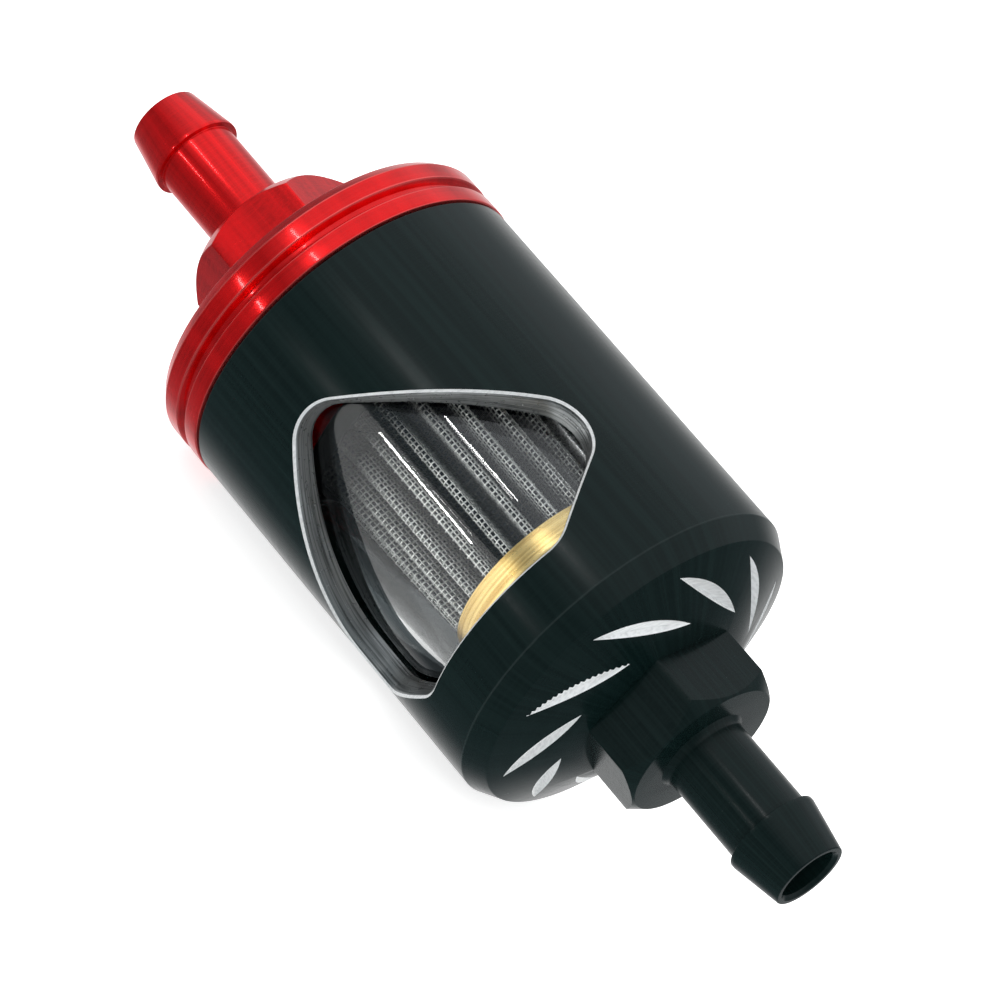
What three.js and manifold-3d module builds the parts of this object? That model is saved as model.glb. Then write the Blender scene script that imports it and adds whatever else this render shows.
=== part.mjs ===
import * as THREE from "three";
import { mergeVertices } from "three/addons/utils/BufferGeometryUtils.js";
import Module from "manifold-3d";

// An in-line fuel filter: a turned housing with two windows, a screw-on end cap, a glass tube
// between two rubber seals, and a pleated mesh element that a spring holds against the cap.
//
// Sizes are millimetres. A station is a distance along the filter's axis, from the joint
// between cap and housing (0) towards the inlet barb. An angle runs round the axis from +Z
// towards -Y, so 90 degrees faces the front. The model's origin is half-way between the two
// barb tips, with +X towards the inlet.

// Housing
const BARREL_RADIUS = 15;
const BARREL_END = 33.8;
const NOSE_EDGE_STATION = 35.6;
const NOSE_EDGE_RADIUS = 14;
const NOSE_ROOT_STATION = 38.5;
const NOSE_ROOT_RADIUS = 7.4;
const INLET_HEX_FACE = 43.55;
const INLET_SHOULDER = 51.75;
const INLET_TIP = 56.25;
const BORE_RADIUS = 13;
const BORE_END = 31.6;
const SPRING_POCKET_RADIUS = 11.6;
const SPRING_FLOOR = 34;
const FLOOR_CONE = { rise: 1.5, length: 1 };
const MOUTH_RADIUS = 14;
const MOUTH_DEPTH = 1.8;
const MOUTH_CHAMFER = 0.4;
const RIM_BREAK = 0.15;

// End cap
const OUTLET_TIP = -26;
const OUTLET_SHOULDER = -21.45;
const OUTLET_HEX_FACE = -12.5;
const FLANGE_BACK = -5;
const FLANGE_BACK_RADIUS = 14.55;
const FLANGE_CHAMFER_END = -4.2;
const FLANGE_RADIUS = 15.1;
const FLANGE_FACE = -0.2;
const FLANGE_GROOVE = { start: -2.75, end: -1.65, floor: 0.4, depth: 0.6 };
const O_RING_GROOVE = { start: 0.35, end: 1.65, radius: 12.3 };
const SPIGOT_RADIUS = 12.85;
const SPIGOT_END = 5.8;
const SPIGOT_WALL = 1.85;
const CAP_CAVITY_FLOOR = -1.2;
const NOZZLE_RADIUS = 3.6;
const NOZZLE_END = 12.6;

// Hexagons and hose barbs, alike at both ends
const HEX_ACROSS_FLATS = 13;
const HEX_FACE_RADIUS = 6.35;
const HEX_CHAMFER_LENGTH = 1.1;
const INLET_HEX_ANGLE = 51.7;
const OUTLET_HEX_ANGLE = 33.3;
const NECK_RADIUS = 3.38;
const NECK_FILLET = 0.4;
const SHOULDER_RADIUS = 3.84;
const SHOULDER_LAND = 0.3;
const TIP_RADIUS = 3.05;
const PASSAGE_RADIUS = 2.35;
const PASSAGE_CHAMFER = { rise: 0.4, length: 0.3 };
const HEX_CORE_RADIUS = HEX_FACE_RADIUS - 1;

// Windows: a five-cornered outline on the barrel, its corners given as [angle, station]
const WINDOW_CENTRES = [90, 270];
const WINDOW_APEX = [0, 6.9];
const WINDOW_SIDE = [71.2, 22.2];
const WINDOW_FOOT = [32.5, 29.3];
const WINDOW_CORNER_RADIUS = 3.6;
const WINDOW_STEPS = 22;
const WINDOW_END_MARGIN = 0.03;

// Lens-shaped cuts round the nose, made by the edge of a tilted round cutter
const CUT_COUNT = 10;
const CUT_ANGLE = 51;
const CUT_RADIUS = 10.3;
const CUT_LEAN = 58.6;
const CUT_DEPTH = 0.5;
const CUTTER_TILT = 30;
const CUTTER_RADIUS = 36;
const CUTTER_THICKNESS = 3;
const CUTTER_SEGMENTS = 120;

// Thread between spigot and bore
const THREAD_PITCH = 1.25;
const THREAD_START = 2.3;
const THREAD_TURNS = 2.5;
const THREAD_CREST = 13.5;
const THREAD_FLANK_GAP = 0.12;
const THREAD_CREST_GAP = 0.2;
const THREAD_FOOT_WIDTH = 0.9;
const THREAD_CREST_WIDTH = 0.25;
const THREAD_ROOTING = 0.3;
const THREAD_RUN_OUT = { before: 1, after: 0.4 };

// Glass and seals
const GLASS_OUTER = 12.7;
const GLASS_INNER = 11.2;
const GLASS_START = 7.2;
const GLASS_END = 30.2;
const SEAL_GAP = 0.2;
const SEAL_THICKNESS = 1;
const INLET_SEAL_LEDGE = 0.6;
const O_RING_RADIUS = 13.15;
const O_RING_SECTION = 0.6;

// Filter element
const ELEMENT_RADIUS = 9.2;
const DISC_SKIN = 0.25;
const DISC_THICKNESS = 0.8;
const SKIRT_LENGTH = 1.8;
const OUTLET_DISC_FACE = 7.4;
const BLIND_DISC_FACE = 27.2;
const HUB_OUTER = 5.3;
const HUB_INNER = 4.95;
const HUB_END = 13.4;
const HUB_LIP_RADIUS = 3.85;
const HUB_LIP = 0.4;
const GROMMET_GAP = { face: 0.1, waist: 0.35, lip: 0.2 };
const GROMMET_LIP = 0.8;
const SPRING_BOSS_RADIUS = 4.2;
const SPRING_BOSS_HEIGHT = 0.8;
const PLEAT_COUNT = 24;
const PLEAT_PEAK = 8.65;
const PLEAT_VALLEY = 6.6;
const PLEAT_FLAT = 2.2;
const SHEET_THICKNESS = 0.16;
const SHEET_SPACING = 0.27;
const ELEMENT_CLEARANCE = 0.25;
const CORE_OUTER = 6.05;
const CORE_INNER = 5.65;
const CORE_SLOT_ROWS = 4;
const CORE_SLOTS_ROUND = 6;
const CORE_SLOT_LENGTH = 1.8;
const CORE_SLOT_WIDTH = 23;
const SEAM_CLIP = { start: 9.7, end: 24.9, top: 9.05, foot: 7.9, halfWidth: 0.86, skin: 0.18 };

// Spring
const SPRING_RADIUS = 5.2;
const SPRING_WIRE = 0.4;
const SPRING_TURNS = 4.5;
const SPRING_CLOSED_TURNS = 0.75;
const SPRING_REST = 0.2;
const SPRING_CLOSED_PITCH = 1.1;

// Broken edges, and how far a shape runs into or past the one that it joins or cuts
const EDGE_BREAK = 0.3;
const OVERRUN = 1;

const BODY_SEGMENTS = 48;
const ELEMENT_SEGMENTS = 36;
const SMALL_SEGMENTS = 24;
const THREAD_SEGMENTS = 24;
const SPRING_STEPS = 12;
const SPRING_SIDES = 5;

const ORIGIN_STATION = (INLET_TIP + OUTLET_TIP) / 2;

const wasm = await Module();
wasm.setup();

const radians = THREE.MathUtils.degToRad;

// The point at a station, a distance from the axis and an angle round it in degrees.
function polar(station, radius, angle) {
  const turn = radians(angle);
  return new THREE.Vector3(station, -radius * Math.sin(turn), radius * Math.cos(turn));
}

// A solid that can be joined and cut, from any closed three.js geometry.
function solid(geometry) {
  const bare = new THREE.BufferGeometry();
  bare.setAttribute("position", geometry.getAttribute("position"));
  bare.setIndex(geometry.index);
  const merged = mergeVertices(bare, 1e-4);
  return new wasm.Manifold(
    new wasm.Mesh({
      numProp: 3,
      vertProperties: merged.attributes.position.array,
      triVerts: new Uint32Array(merged.index.array),
    }),
  );
}

// Back from a solid to a geometry that three.js can draw.
function geometryOf(body) {
  const mesh = body.getMesh();
  const geometry = new THREE.BufferGeometry();
  geometry.setAttribute("position", new THREE.BufferAttribute(mesh.vertProperties, 3));
  geometry.setIndex(new THREE.BufferAttribute(mesh.triVerts, 1));
  geometry.computeVertexNormals();
  return geometry;
}

// A turned shape from an outline of [station, radius] points, either way round. An outline
// that doesn't touch the axis closes on itself.
function turned(outline, segments = BODY_SEGMENTS) {
  const points = outline.map(([station, radius]) => new THREE.Vector2(radius, station));
  if (points[0].x > 0) {
    points.push(points[0].clone());
  }
  if (THREE.ShapeUtils.area(points) < 0) {
    points.reverse();
  }
  return new THREE.LatheGeometry(points, segments).rotateZ(-Math.PI / 2);
}

// A bar of boxes or a round rod, bent by a function of (along, across, out) to a point.
function bent(geometry, place) {
  const position = geometry.getAttribute("position");
  const point = new THREE.Vector3();
  for (let i = 0; i < position.count; i += 1) {
    point.fromBufferAttribute(position, i);
    const moved = place(point.x, point.y, point.z);
    position.setXYZ(i, moved.x, moved.y, moved.z);
  }
  return geometry;
}

// A flat outline of [across, up] points in the plane square to the axis, drawn out along it.
function prism(shape, start, end) {
  const geometry = new THREE.ExtrudeGeometry(shape, {
    depth: end - start,
    bevelEnabled: false,
    curveSegments: 6,
  });
  const turnIntoFrame = new THREE.Matrix4().makeBasis(
    new THREE.Vector3(0, 1, 0),
    new THREE.Vector3(0, 0, 1),
    new THREE.Vector3(1, 0, 0),
  );
  return geometry.applyMatrix4(turnIntoFrame).translate(start, 0, 0);
}

// A closed loop of Vector2 in the plane square to the axis, from radius and angle pairs.
function loopOf(pairs) {
  return pairs.map(([radius, angle]) => {
    const point = polar(0, radius, angle);
    return new THREE.Vector2(point.y, point.z);
  });
}

// A hexagon whose outer end is chamfered all round; outward is +1 towards the inlet.
function hexagon(root, face, cornerAngle, outward) {
  const cornerRadius = HEX_ACROSS_FLATS / Math.sqrt(3);
  const corners = [0, 1, 2, 3, 4, 5].map((i) => [cornerRadius, cornerAngle + 60 * i]);
  const bar = prism(new THREE.Shape(loopOf(corners)), Math.min(root, face), Math.max(root, face));
  const slope = (cornerRadius - HEX_FACE_RADIUS) / HEX_CHAMFER_LENGTH;
  const reach = Math.abs(face - root) + OVERRUN;
  const chamfer = turned([
    [face, 0],
    [face, HEX_FACE_RADIUS],
    [face - outward * reach, HEX_FACE_RADIUS + slope * reach],
    [face - outward * reach, 0],
  ]);
  return solid(bar).intersect(solid(chamfer));
}

// The outline of a hose barb, from just inside its hexagon out to its tip and the axis.
function barbOutline(hexFace, shoulder, tip, outward) {
  return [
    [hexFace - outward * OVERRUN, NECK_RADIUS + NECK_FILLET],
    [hexFace, NECK_RADIUS + NECK_FILLET],
    [hexFace + outward * NECK_FILLET, NECK_RADIUS],
    [shoulder, NECK_RADIUS],
    [shoulder, SHOULDER_RADIUS],
    [shoulder + outward * SHOULDER_LAND, SHOULDER_RADIUS],
    [tip, TIP_RADIUS],
    [tip, 0],
  ];
}

// The screw thread's ridge, or with its two gaps the groove that the ridge runs in.
function threadRidge(start, turns, flankGap = 0, crestGap = 0) {
  const bar = new THREE.BoxGeometry(1, 1, 1, Math.round(turns * THREAD_SEGMENTS), 1, 1);
  const foot = SPIGOT_RADIUS - THREAD_ROOTING;
  const crest = THREAD_CREST + crestGap;
  return bent(bar, (along, across, out) => {
    const turn = (along + 0.5) * turns;
    const isCrest = out > 0;
    const width = (isCrest ? THREAD_CREST_WIDTH : THREAD_FOOT_WIDTH) + 2 * flankGap;
    const station = start + turn * THREAD_PITCH + across * width;
    return polar(station, isCrest ? crest : foot, 360 * (turn + start / THREAD_PITCH));
  });
}

// The window's outline on the unrolled barrel, as a Shape with rounded corners, across in
// millimetres of arc at the barrel's surface.
function windowShape() {
  const arc = radians(1) * BARREL_RADIUS;
  const right = [WINDOW_APEX, WINDOW_SIDE, WINDOW_FOOT];
  const left = [...right].reverse().slice(0, 2);
  const corners = [
    ...right.map(([angle, station]) => new THREE.Vector2(angle * arc, station)),
    ...left.map(([angle, station]) => new THREE.Vector2(-angle * arc, station)),
  ];
  const shape = new THREE.Shape();
  corners.forEach((corner, i) => {
    const before = corners.at(i - 1);
    const after = corners[(i + 1) % corners.length];
    const inward = before.clone().sub(corner).normalize();
    const onward = after.clone().sub(corner).normalize();
    const halfAngle = Math.acos(inward.dot(onward)) / 2;
    const setBack = WINDOW_CORNER_RADIUS / Math.tan(halfAngle);
    const from = corner.clone().addScaledVector(inward, setBack);
    const to = corner.clone().addScaledVector(onward, setBack);
    const middle = inward.clone().add(onward).normalize();
    const centre = corner.clone().addScaledVector(middle, WINDOW_CORNER_RADIUS / Math.sin(halfAngle));
    const startAngle = Math.atan2(from.y - centre.y, from.x - centre.x);
    const endAngle = Math.atan2(to.y - centre.y, to.x - centre.x);
    shape.absarc(centre.x, centre.y, WINDOW_CORNER_RADIUS, startAngle, endAngle, false);
  });
  return shape;
}

// The lowest and highest station where a line across the window outline cuts it.
function windowSpan(outline, across) {
  const stations = [];
  outline.forEach((a, i) => {
    const b = outline[(i + 1) % outline.length];
    if (a.x > across !== b.x > across) {
      stations.push(a.y + ((b.y - a.y) * (across - a.x)) / (b.x - a.x));
    }
  });
  return [Math.min(...stations), Math.max(...stations)];
}

// The solid that cuts one window radially through the wall.
function windowCutter(centreAngle) {
  const outline = windowShape().getPoints(24);
  const halfWidth = Math.max(...outline.map((point) => point.x)) - WINDOW_END_MARGIN;
  const block = new THREE.BoxGeometry(1, 1, 1, WINDOW_STEPS, 1, 1);
  return bent(block, (along, across, out) => {
    const place = Math.sin(Math.PI * along) * halfWidth;
    const [low, high] = windowSpan(outline, place);
    const angle = centreAngle + THREE.MathUtils.radToDeg(place / BARREL_RADIUS);
    const radius = out > 0 ? BARREL_RADIUS + OVERRUN : GLASS_OUTER - OVERRUN;
    return polar(across > 0 ? high : low, radius, angle);
  });
}

// The round cutter that makes one lens-shaped cut across the nose.
function noseCutter(angle) {
  const fall = (NOSE_ROOT_STATION - NOSE_EDGE_STATION) / (NOSE_EDGE_RADIUS - NOSE_ROOT_RADIUS);
  const station = NOSE_EDGE_STATION + (NOSE_EDGE_RADIUS - CUT_RADIUS) * fall;
  const radial = polar(0, 1, angle);
  const tangent = polar(0, 1, angle + 90);
  const downhill = radial.clone().addScaledVector(new THREE.Vector3(1, 0, 0), -fall).normalize();
  const normal = tangent.clone().cross(downhill).negate();
  const lean = radians(CUT_LEAN);
  const inward = downhill.clone().multiplyScalar(-Math.sin(lean)).addScaledVector(tangent, Math.cos(lean));
  const tilt = radians(CUTTER_TILT);
  const axis = normal.clone().multiplyScalar(Math.sin(tilt)).addScaledVector(inward, -Math.cos(tilt));
  const upright = normal.clone().multiplyScalar(Math.cos(tilt)).addScaledVector(inward, Math.sin(tilt));
  const centre = polar(station, CUT_RADIUS, angle)
    .addScaledVector(normal, -CUT_DEPTH)
    .addScaledVector(upright, CUTTER_RADIUS)
    .addScaledVector(axis, CUTTER_THICKNESS / 2);
  const pose = new THREE.Matrix4().makeBasis(upright, axis, upright.clone().cross(axis));
  pose.setPosition(centre);
  const cutter = new THREE.CylinderGeometry(CUTTER_RADIUS, CUTTER_RADIUS, CUTTER_THICKNESS, CUTTER_SEGMENTS);
  return cutter.applyMatrix4(pose);
}

// The bore of a barb at its chamfered mouth, down to the axis just past the tip.
function passageMouth(tip, outward) {
  const past = outward * (PASSAGE_CHAMFER.rise - PASSAGE_CHAMFER.length);
  return [
    [tip - outward * PASSAGE_CHAMFER.length, PASSAGE_RADIUS],
    [tip + past, PASSAGE_RADIUS + PASSAGE_CHAMFER.rise],
    [tip + past, 0],
  ];
}

function housing() {
  const barrel = turned([
    [0, 0],
    [0, BARREL_RADIUS - RIM_BREAK],
    [RIM_BREAK, BARREL_RADIUS],
    [BARREL_END, BARREL_RADIUS],
    [NOSE_EDGE_STATION, NOSE_EDGE_RADIUS],
    [NOSE_ROOT_STATION, NOSE_ROOT_RADIUS],
    [NOSE_ROOT_STATION, 0],
  ]);
  const barb = turned([
    [NOSE_ROOT_STATION - OVERRUN, 0],
    [NOSE_ROOT_STATION - OVERRUN, HEX_CORE_RADIUS],
    [INLET_HEX_FACE - OVERRUN, HEX_CORE_RADIUS],
    ...barbOutline(INLET_HEX_FACE, INLET_SHOULDER, INLET_TIP, 1),
  ]);
  const inside = turned([
    [-OVERRUN, 0],
    [-OVERRUN, MOUTH_RADIUS],
    [MOUTH_DEPTH, MOUTH_RADIUS],
    [MOUTH_DEPTH + MOUTH_CHAMFER, BORE_RADIUS],
    [BORE_END, BORE_RADIUS],
    [BORE_END, SPRING_POCKET_RADIUS],
    [SPRING_FLOOR, SPRING_POCKET_RADIUS],
    [SPRING_FLOOR, PASSAGE_RADIUS + FLOOR_CONE.rise],
    [SPRING_FLOOR + FLOOR_CONE.length, PASSAGE_RADIUS],
    ...passageMouth(INLET_TIP, 1),
  ]);
  const groove = threadRidge(
    THREAD_START - THREAD_RUN_OUT.before * THREAD_PITCH,
    THREAD_TURNS + THREAD_RUN_OUT.before + THREAD_RUN_OUT.after,
    THREAD_FLANK_GAP,
    THREAD_CREST_GAP,
  );
  let body = solid(barrel);
  for (let i = 0; i < CUT_COUNT; i += 1) {
    body = body.subtract(solid(noseCutter(CUT_ANGLE + (360 / CUT_COUNT) * i)));
  }
  body = body
    .add(hexagon(NOSE_ROOT_STATION - OVERRUN, INLET_HEX_FACE, INLET_HEX_ANGLE, 1))
    .add(solid(barb))
    .subtract(solid(inside))
    .subtract(solid(groove));
  for (const centre of WINDOW_CENTRES) {
    body = body.subtract(solid(windowCutter(centre)));
  }
  return geometryOf(body);
}

function endCap() {
  const groove = FLANGE_GROOVE;
  const flank = (groove.end - groove.start - groove.floor) / 2;
  const outside = turned([
    ...barbOutline(OUTLET_HEX_FACE, OUTLET_SHOULDER, OUTLET_TIP, -1).reverse(),
    [OUTLET_HEX_FACE + OVERRUN, HEX_CORE_RADIUS],
    [FLANGE_BACK, HEX_CORE_RADIUS],
    [FLANGE_BACK, FLANGE_BACK_RADIUS],
    [FLANGE_CHAMFER_END, FLANGE_RADIUS],
    [groove.start, FLANGE_RADIUS],
    [groove.start + flank, FLANGE_RADIUS - groove.depth],
    [groove.end - flank, FLANGE_RADIUS - groove.depth],
    [groove.end, FLANGE_RADIUS],
    [FLANGE_FACE - RIM_BREAK, FLANGE_RADIUS],
    [FLANGE_FACE, FLANGE_RADIUS - RIM_BREAK],
    [FLANGE_FACE, SPIGOT_RADIUS],
    [O_RING_GROOVE.start, SPIGOT_RADIUS],
    [O_RING_GROOVE.start, O_RING_GROOVE.radius],
    [O_RING_GROOVE.end, O_RING_GROOVE.radius],
    [O_RING_GROOVE.end, SPIGOT_RADIUS],
    [SPIGOT_END - EDGE_BREAK, SPIGOT_RADIUS],
    [SPIGOT_END, SPIGOT_RADIUS - EDGE_BREAK],
    [SPIGOT_END, NOZZLE_RADIUS],
    [NOZZLE_END - EDGE_BREAK, NOZZLE_RADIUS],
    [NOZZLE_END, NOZZLE_RADIUS - EDGE_BREAK],
    [NOZZLE_END, 0],
  ]);
  const passage = turned(
    [
      ...passageMouth(OUTLET_TIP, -1).reverse(),
      [NOZZLE_END + OVERRUN, PASSAGE_RADIUS],
      [NOZZLE_END + OVERRUN, 0],
    ],
    SMALL_SEGMENTS,
  );
  const cavity = turned([
    [CAP_CAVITY_FLOOR, NOZZLE_RADIUS],
    [CAP_CAVITY_FLOOR, SPIGOT_RADIUS - SPIGOT_WALL],
    [SPIGOT_END + OVERRUN, SPIGOT_RADIUS - SPIGOT_WALL],
    [SPIGOT_END + OVERRUN, NOZZLE_RADIUS],
  ]);
  return geometryOf(
    solid(outside)
      .add(hexagon(FLANGE_BACK + OVERRUN, OUTLET_HEX_FACE, OUTLET_HEX_ANGLE, -1))
      .add(solid(threadRidge(THREAD_START, THREAD_TURNS)))
      .subtract(solid(passage))
      .subtract(solid(cavity)),
  );
}

// A plain ring between two stations and two radii.
function ring(start, end, inner, outer, segments = BODY_SEGMENTS) {
  return turned(
    [
      [start, inner],
      [start, outer],
      [end, outer],
      [end, inner],
    ],
    segments,
  );
}

function capORing() {
  const middle = (O_RING_GROOVE.start + O_RING_GROOVE.end) / 2;
  return new THREE.TorusGeometry(O_RING_RADIUS, O_RING_SECTION, 6, ELEMENT_SEGMENTS)
    .rotateY(Math.PI / 2)
    .translate(middle, 0, 0);
}

// The pressed disc at the outlet end: a skirt round the pleats and a hub for the grommet.
function outletEndDisc() {
  const face = OUTLET_DISC_FACE;
  return turned(
    [
      [face, HUB_INNER],
      [face, ELEMENT_RADIUS - EDGE_BREAK],
      [face + EDGE_BREAK, ELEMENT_RADIUS],
      [face + SKIRT_LENGTH, ELEMENT_RADIUS],
      [face + SKIRT_LENGTH, ELEMENT_RADIUS - DISC_SKIN],
      [face + DISC_THICKNESS, ELEMENT_RADIUS - DISC_SKIN],
      [face + DISC_THICKNESS, HUB_OUTER],
      [HUB_END, HUB_OUTER],
      [HUB_END, HUB_LIP_RADIUS],
      [HUB_END - HUB_LIP, HUB_LIP_RADIUS],
      [HUB_END - HUB_LIP, HUB_INNER],
    ],
    ELEMENT_SEGMENTS,
  );
}

// The closed pressed disc at the inlet end, with a boss that centres the spring.
function blindEndDisc() {
  const face = BLIND_DISC_FACE;
  return turned(
    [
      [face + SPRING_BOSS_HEIGHT, 0],
      [face + SPRING_BOSS_HEIGHT, SPRING_BOSS_RADIUS - EDGE_BREAK],
      [face, SPRING_BOSS_RADIUS],
      [face, ELEMENT_RADIUS - EDGE_BREAK],
      [face - EDGE_BREAK, ELEMENT_RADIUS],
      [face - SKIRT_LENGTH - EDGE_BREAK, ELEMENT_RADIUS],
      [face - SKIRT_LENGTH - EDGE_BREAK, ELEMENT_RADIUS - DISC_SKIN],
      [face - DISC_THICKNESS, ELEMENT_RADIUS - DISC_SKIN],
      [face - DISC_THICKNESS, 0],
    ],
    ELEMENT_SEGMENTS,
  );
}

// The rubber bush that the cap's nozzle pushes into, with a lip under the disc's hub.
function outletGrommet() {
  const start = OUTLET_DISC_FACE + GROMMET_GAP.face;
  const end = HUB_END - HUB_LIP - SEAL_GAP;
  return turned(
    [
      [start, NOZZLE_RADIUS + GROMMET_GAP.waist],
      [start, HUB_INNER - SEAL_GAP],
      [end, HUB_INNER - SEAL_GAP],
      [end, NOZZLE_RADIUS + GROMMET_GAP.lip],
      [end - GROMMET_LIP, NOZZLE_RADIUS + GROMMET_GAP.lip],
      [(start + end) / 2, NOZZLE_RADIUS + GROMMET_GAP.waist],
    ],
    SMALL_SEGMENTS,
  );
}

const PACK_START = OUTLET_DISC_FACE + DISC_THICKNESS + ELEMENT_CLEARANCE;
const PACK_END = BLIND_DISC_FACE - DISC_THICKNESS - ELEMENT_CLEARANCE;

// The perforated tube that carries the pleats, with staggered rows of short slots.
function coreTube() {
  let tube = solid(ring(PACK_START, PACK_END, CORE_INNER, CORE_OUTER, ELEMENT_SEGMENTS));
  const rowPitch = (PACK_END - HUB_END) / CORE_SLOT_ROWS;
  const slotPitch = 360 / CORE_SLOTS_ROUND;
  for (let row = 0; row < CORE_SLOT_ROWS; row += 1) {
    const station = HUB_END + (row + 0.5) * rowPitch;
    for (let i = 0; i < CORE_SLOTS_ROUND; i += 1) {
      const angle = (i + 0.5 * (row % 2)) * slotPitch;
      const punch = bent(new THREE.BoxGeometry(1, 1, 1, 2, 1, 1), (along, across, out) =>
        polar(
          station + across * CORE_SLOT_LENGTH,
          out > 0 ? CORE_OUTER + OVERRUN : CORE_INNER - OVERRUN,
          angle + along * CORE_SLOT_WIDTH,
        ),
      );
      tube = tube.subtract(solid(punch));
    }
  }
  return geometryOf(tube);
}

// A loop moved sideways by a distance, each corner along its mitre; positive is inwards.
function inset(loop, distance) {
  return loop.map((point, i) => {
    const before = point.clone().sub(loop.at(i - 1)).normalize();
    const after = loop[(i + 1) % loop.length].clone().sub(point).normalize();
    const normalBefore = new THREE.Vector2(-before.y, before.x);
    const normalAfter = new THREE.Vector2(-after.y, after.x);
    const mitre = normalBefore.clone().add(normalAfter).normalize();
    return point.clone().addScaledVector(mitre, distance / mitre.dot(normalAfter));
  });
}

// One pleated sheet of the element, a distance inside the outermost sheet.
function pleatedSheet(depth) {
  const pitch = 360 / PLEAT_COUNT;
  const corners = [];
  for (let i = 0; i < PLEAT_COUNT; i += 1) {
    const peak = i * pitch;
    const valley = (i + 0.5) * pitch;
    corners.push([PLEAT_PEAK, peak - PLEAT_FLAT]);
    corners.push([PLEAT_PEAK, peak + PLEAT_FLAT]);
    corners.push([PLEAT_VALLEY, valley - PLEAT_FLAT]);
    corners.push([PLEAT_VALLEY, valley + PLEAT_FLAT]);
  }
  const loop = loopOf(corners);
  const shape = new THREE.Shape(inset(loop, depth));
  shape.holes.push(new THREE.Path(inset(loop, depth + SHEET_THICKNESS)));
  return prism(shape, PACK_START, PACK_END);
}

// The folded strip that grips the sheets' two edges at one pleat.
function seamClip() {
  const { start, end, top, foot, halfWidth, skin } = SEAM_CLIP;
  const shape = new THREE.Shape();
  shape.moveTo(-halfWidth, foot);
  shape.lineTo(-halfWidth + skin, foot);
  shape.lineTo(-halfWidth + skin, top - skin);
  shape.lineTo(halfWidth - skin, top - skin);
  shape.lineTo(halfWidth - skin, foot);
  shape.lineTo(halfWidth, foot);
  shape.lineTo(halfWidth, top);
  shape.lineTo(-halfWidth, top);
  return prism(shape, start, end);
}

// A compression spring whose end turns lie flat.
function elementSpring() {
  const rod = new THREE.CylinderGeometry(1, 1, 1, SPRING_SIDES, SPRING_TURNS * SPRING_STEPS);
  const first = BLIND_DISC_FACE + SPRING_REST + SPRING_WIRE;
  const last = SPRING_FLOOR - SPRING_REST - SPRING_WIRE;
  const closedRise = 2 * SPRING_WIRE * SPRING_CLOSED_TURNS * SPRING_CLOSED_PITCH;
  const openTurns = SPRING_TURNS - 2 * SPRING_CLOSED_TURNS;
  const openRise = last - first - 2 * closedRise;
  return bent(rod, (across, along, out) => {
    const turn = (along + 0.5) * SPRING_TURNS;
    const closedStart = Math.min(turn, SPRING_CLOSED_TURNS) / SPRING_CLOSED_TURNS;
    const closedEnd = Math.max(turn - SPRING_CLOSED_TURNS - openTurns, 0) / SPRING_CLOSED_TURNS;
    const open = THREE.MathUtils.clamp((turn - SPRING_CLOSED_TURNS) / openTurns, 0, 1);
    const station = first + closedRise * (closedStart + closedEnd) + openRise * open;
    return polar(station + SPRING_WIRE * out, SPRING_RADIUS + SPRING_WIRE * across, 360 * turn);
  });
}

const FINISHES = {
  blackAnodised: { color: 0x10161a, roughness: 0.3, metalness: 0.9 },
  redAnodised: { color: 0xd01018, roughness: 0.3, metalness: 0.9 },
  glass: { color: 0xf2f6f6, roughness: 0.03, metalness: 0, transparent: true, opacity: 0.3 },
  rubber: { color: 0x161616, roughness: 0.8, metalness: 0 },
  brass: { color: 0xc9a04a, roughness: 0.3, metalness: 1 },
  steelMesh: { color: 0x8f9290, roughness: 0.45, metalness: 1 },
  steel: { color: 0xb5b7b8, roughness: 0.3, metalness: 1 },
};

const filter = new THREE.Group();
filter.position.x = -ORIGIN_STATION;

function place(name, geometry, finish) {
  const mesh = new THREE.Mesh(geometry, new THREE.MeshStandardMaterial(finish));
  mesh.name = name;
  filter.add(mesh);
}

const outletSealStart = SPIGOT_END + SEAL_GAP;
const inletSealStart = GLASS_END + SEAL_GAP;

place("housing", housing(), FINISHES.blackAnodised);
place("end_cap", endCap(), FINISHES.redAnodised);
place("sight_glass", ring(GLASS_START, GLASS_END, GLASS_INNER, GLASS_OUTER), FINISHES.glass);
place(
  "outlet_glass_seal",
  ring(outletSealStart, outletSealStart + SEAL_THICKNESS, GLASS_INNER, GLASS_OUTER),
  FINISHES.rubber,
);
place(
  "inlet_glass_seal",
  ring(inletSealStart, inletSealStart + SEAL_THICKNESS, GLASS_INNER + INLET_SEAL_LEDGE, GLASS_OUTER),
  FINISHES.rubber,
);
place("cap_o_ring", capORing(), FINISHES.rubber);
place("outlet_end_disc", outletEndDisc(), FINISHES.rubber);
place("blind_end_disc", blindEndDisc(), FINISHES.brass);
place("outlet_grommet", outletGrommet(), FINISHES.rubber);
place("core_tube", coreTube(), FINISHES.steel);
place("support_mesh", pleatedSheet(0), FINISHES.steelMesh);
place("fine_mesh", pleatedSheet(SHEET_SPACING), FINISHES.steelMesh);
place("seam_clip", seamClip(), FINISHES.steel);
place("element_spring", elementSpring(), FINISHES.steel);

const root = new THREE.Group();
root.add(filter);

export default root;
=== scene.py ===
"""Looks of an in-line fuel filter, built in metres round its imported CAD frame.

A station is a distance in millimetres along the filter's axis, from the joint between cap and
housing towards the inlet barb. An angle runs round the axis from +Z towards -Y, in degrees, so
90 degrees faces the front window.
"""

import logging
import math
from dataclasses import dataclass
from enum import Enum
from typing import Iterable, Sequence

import bpy
import numpy as np
from mathutils import Matrix, Vector


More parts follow.
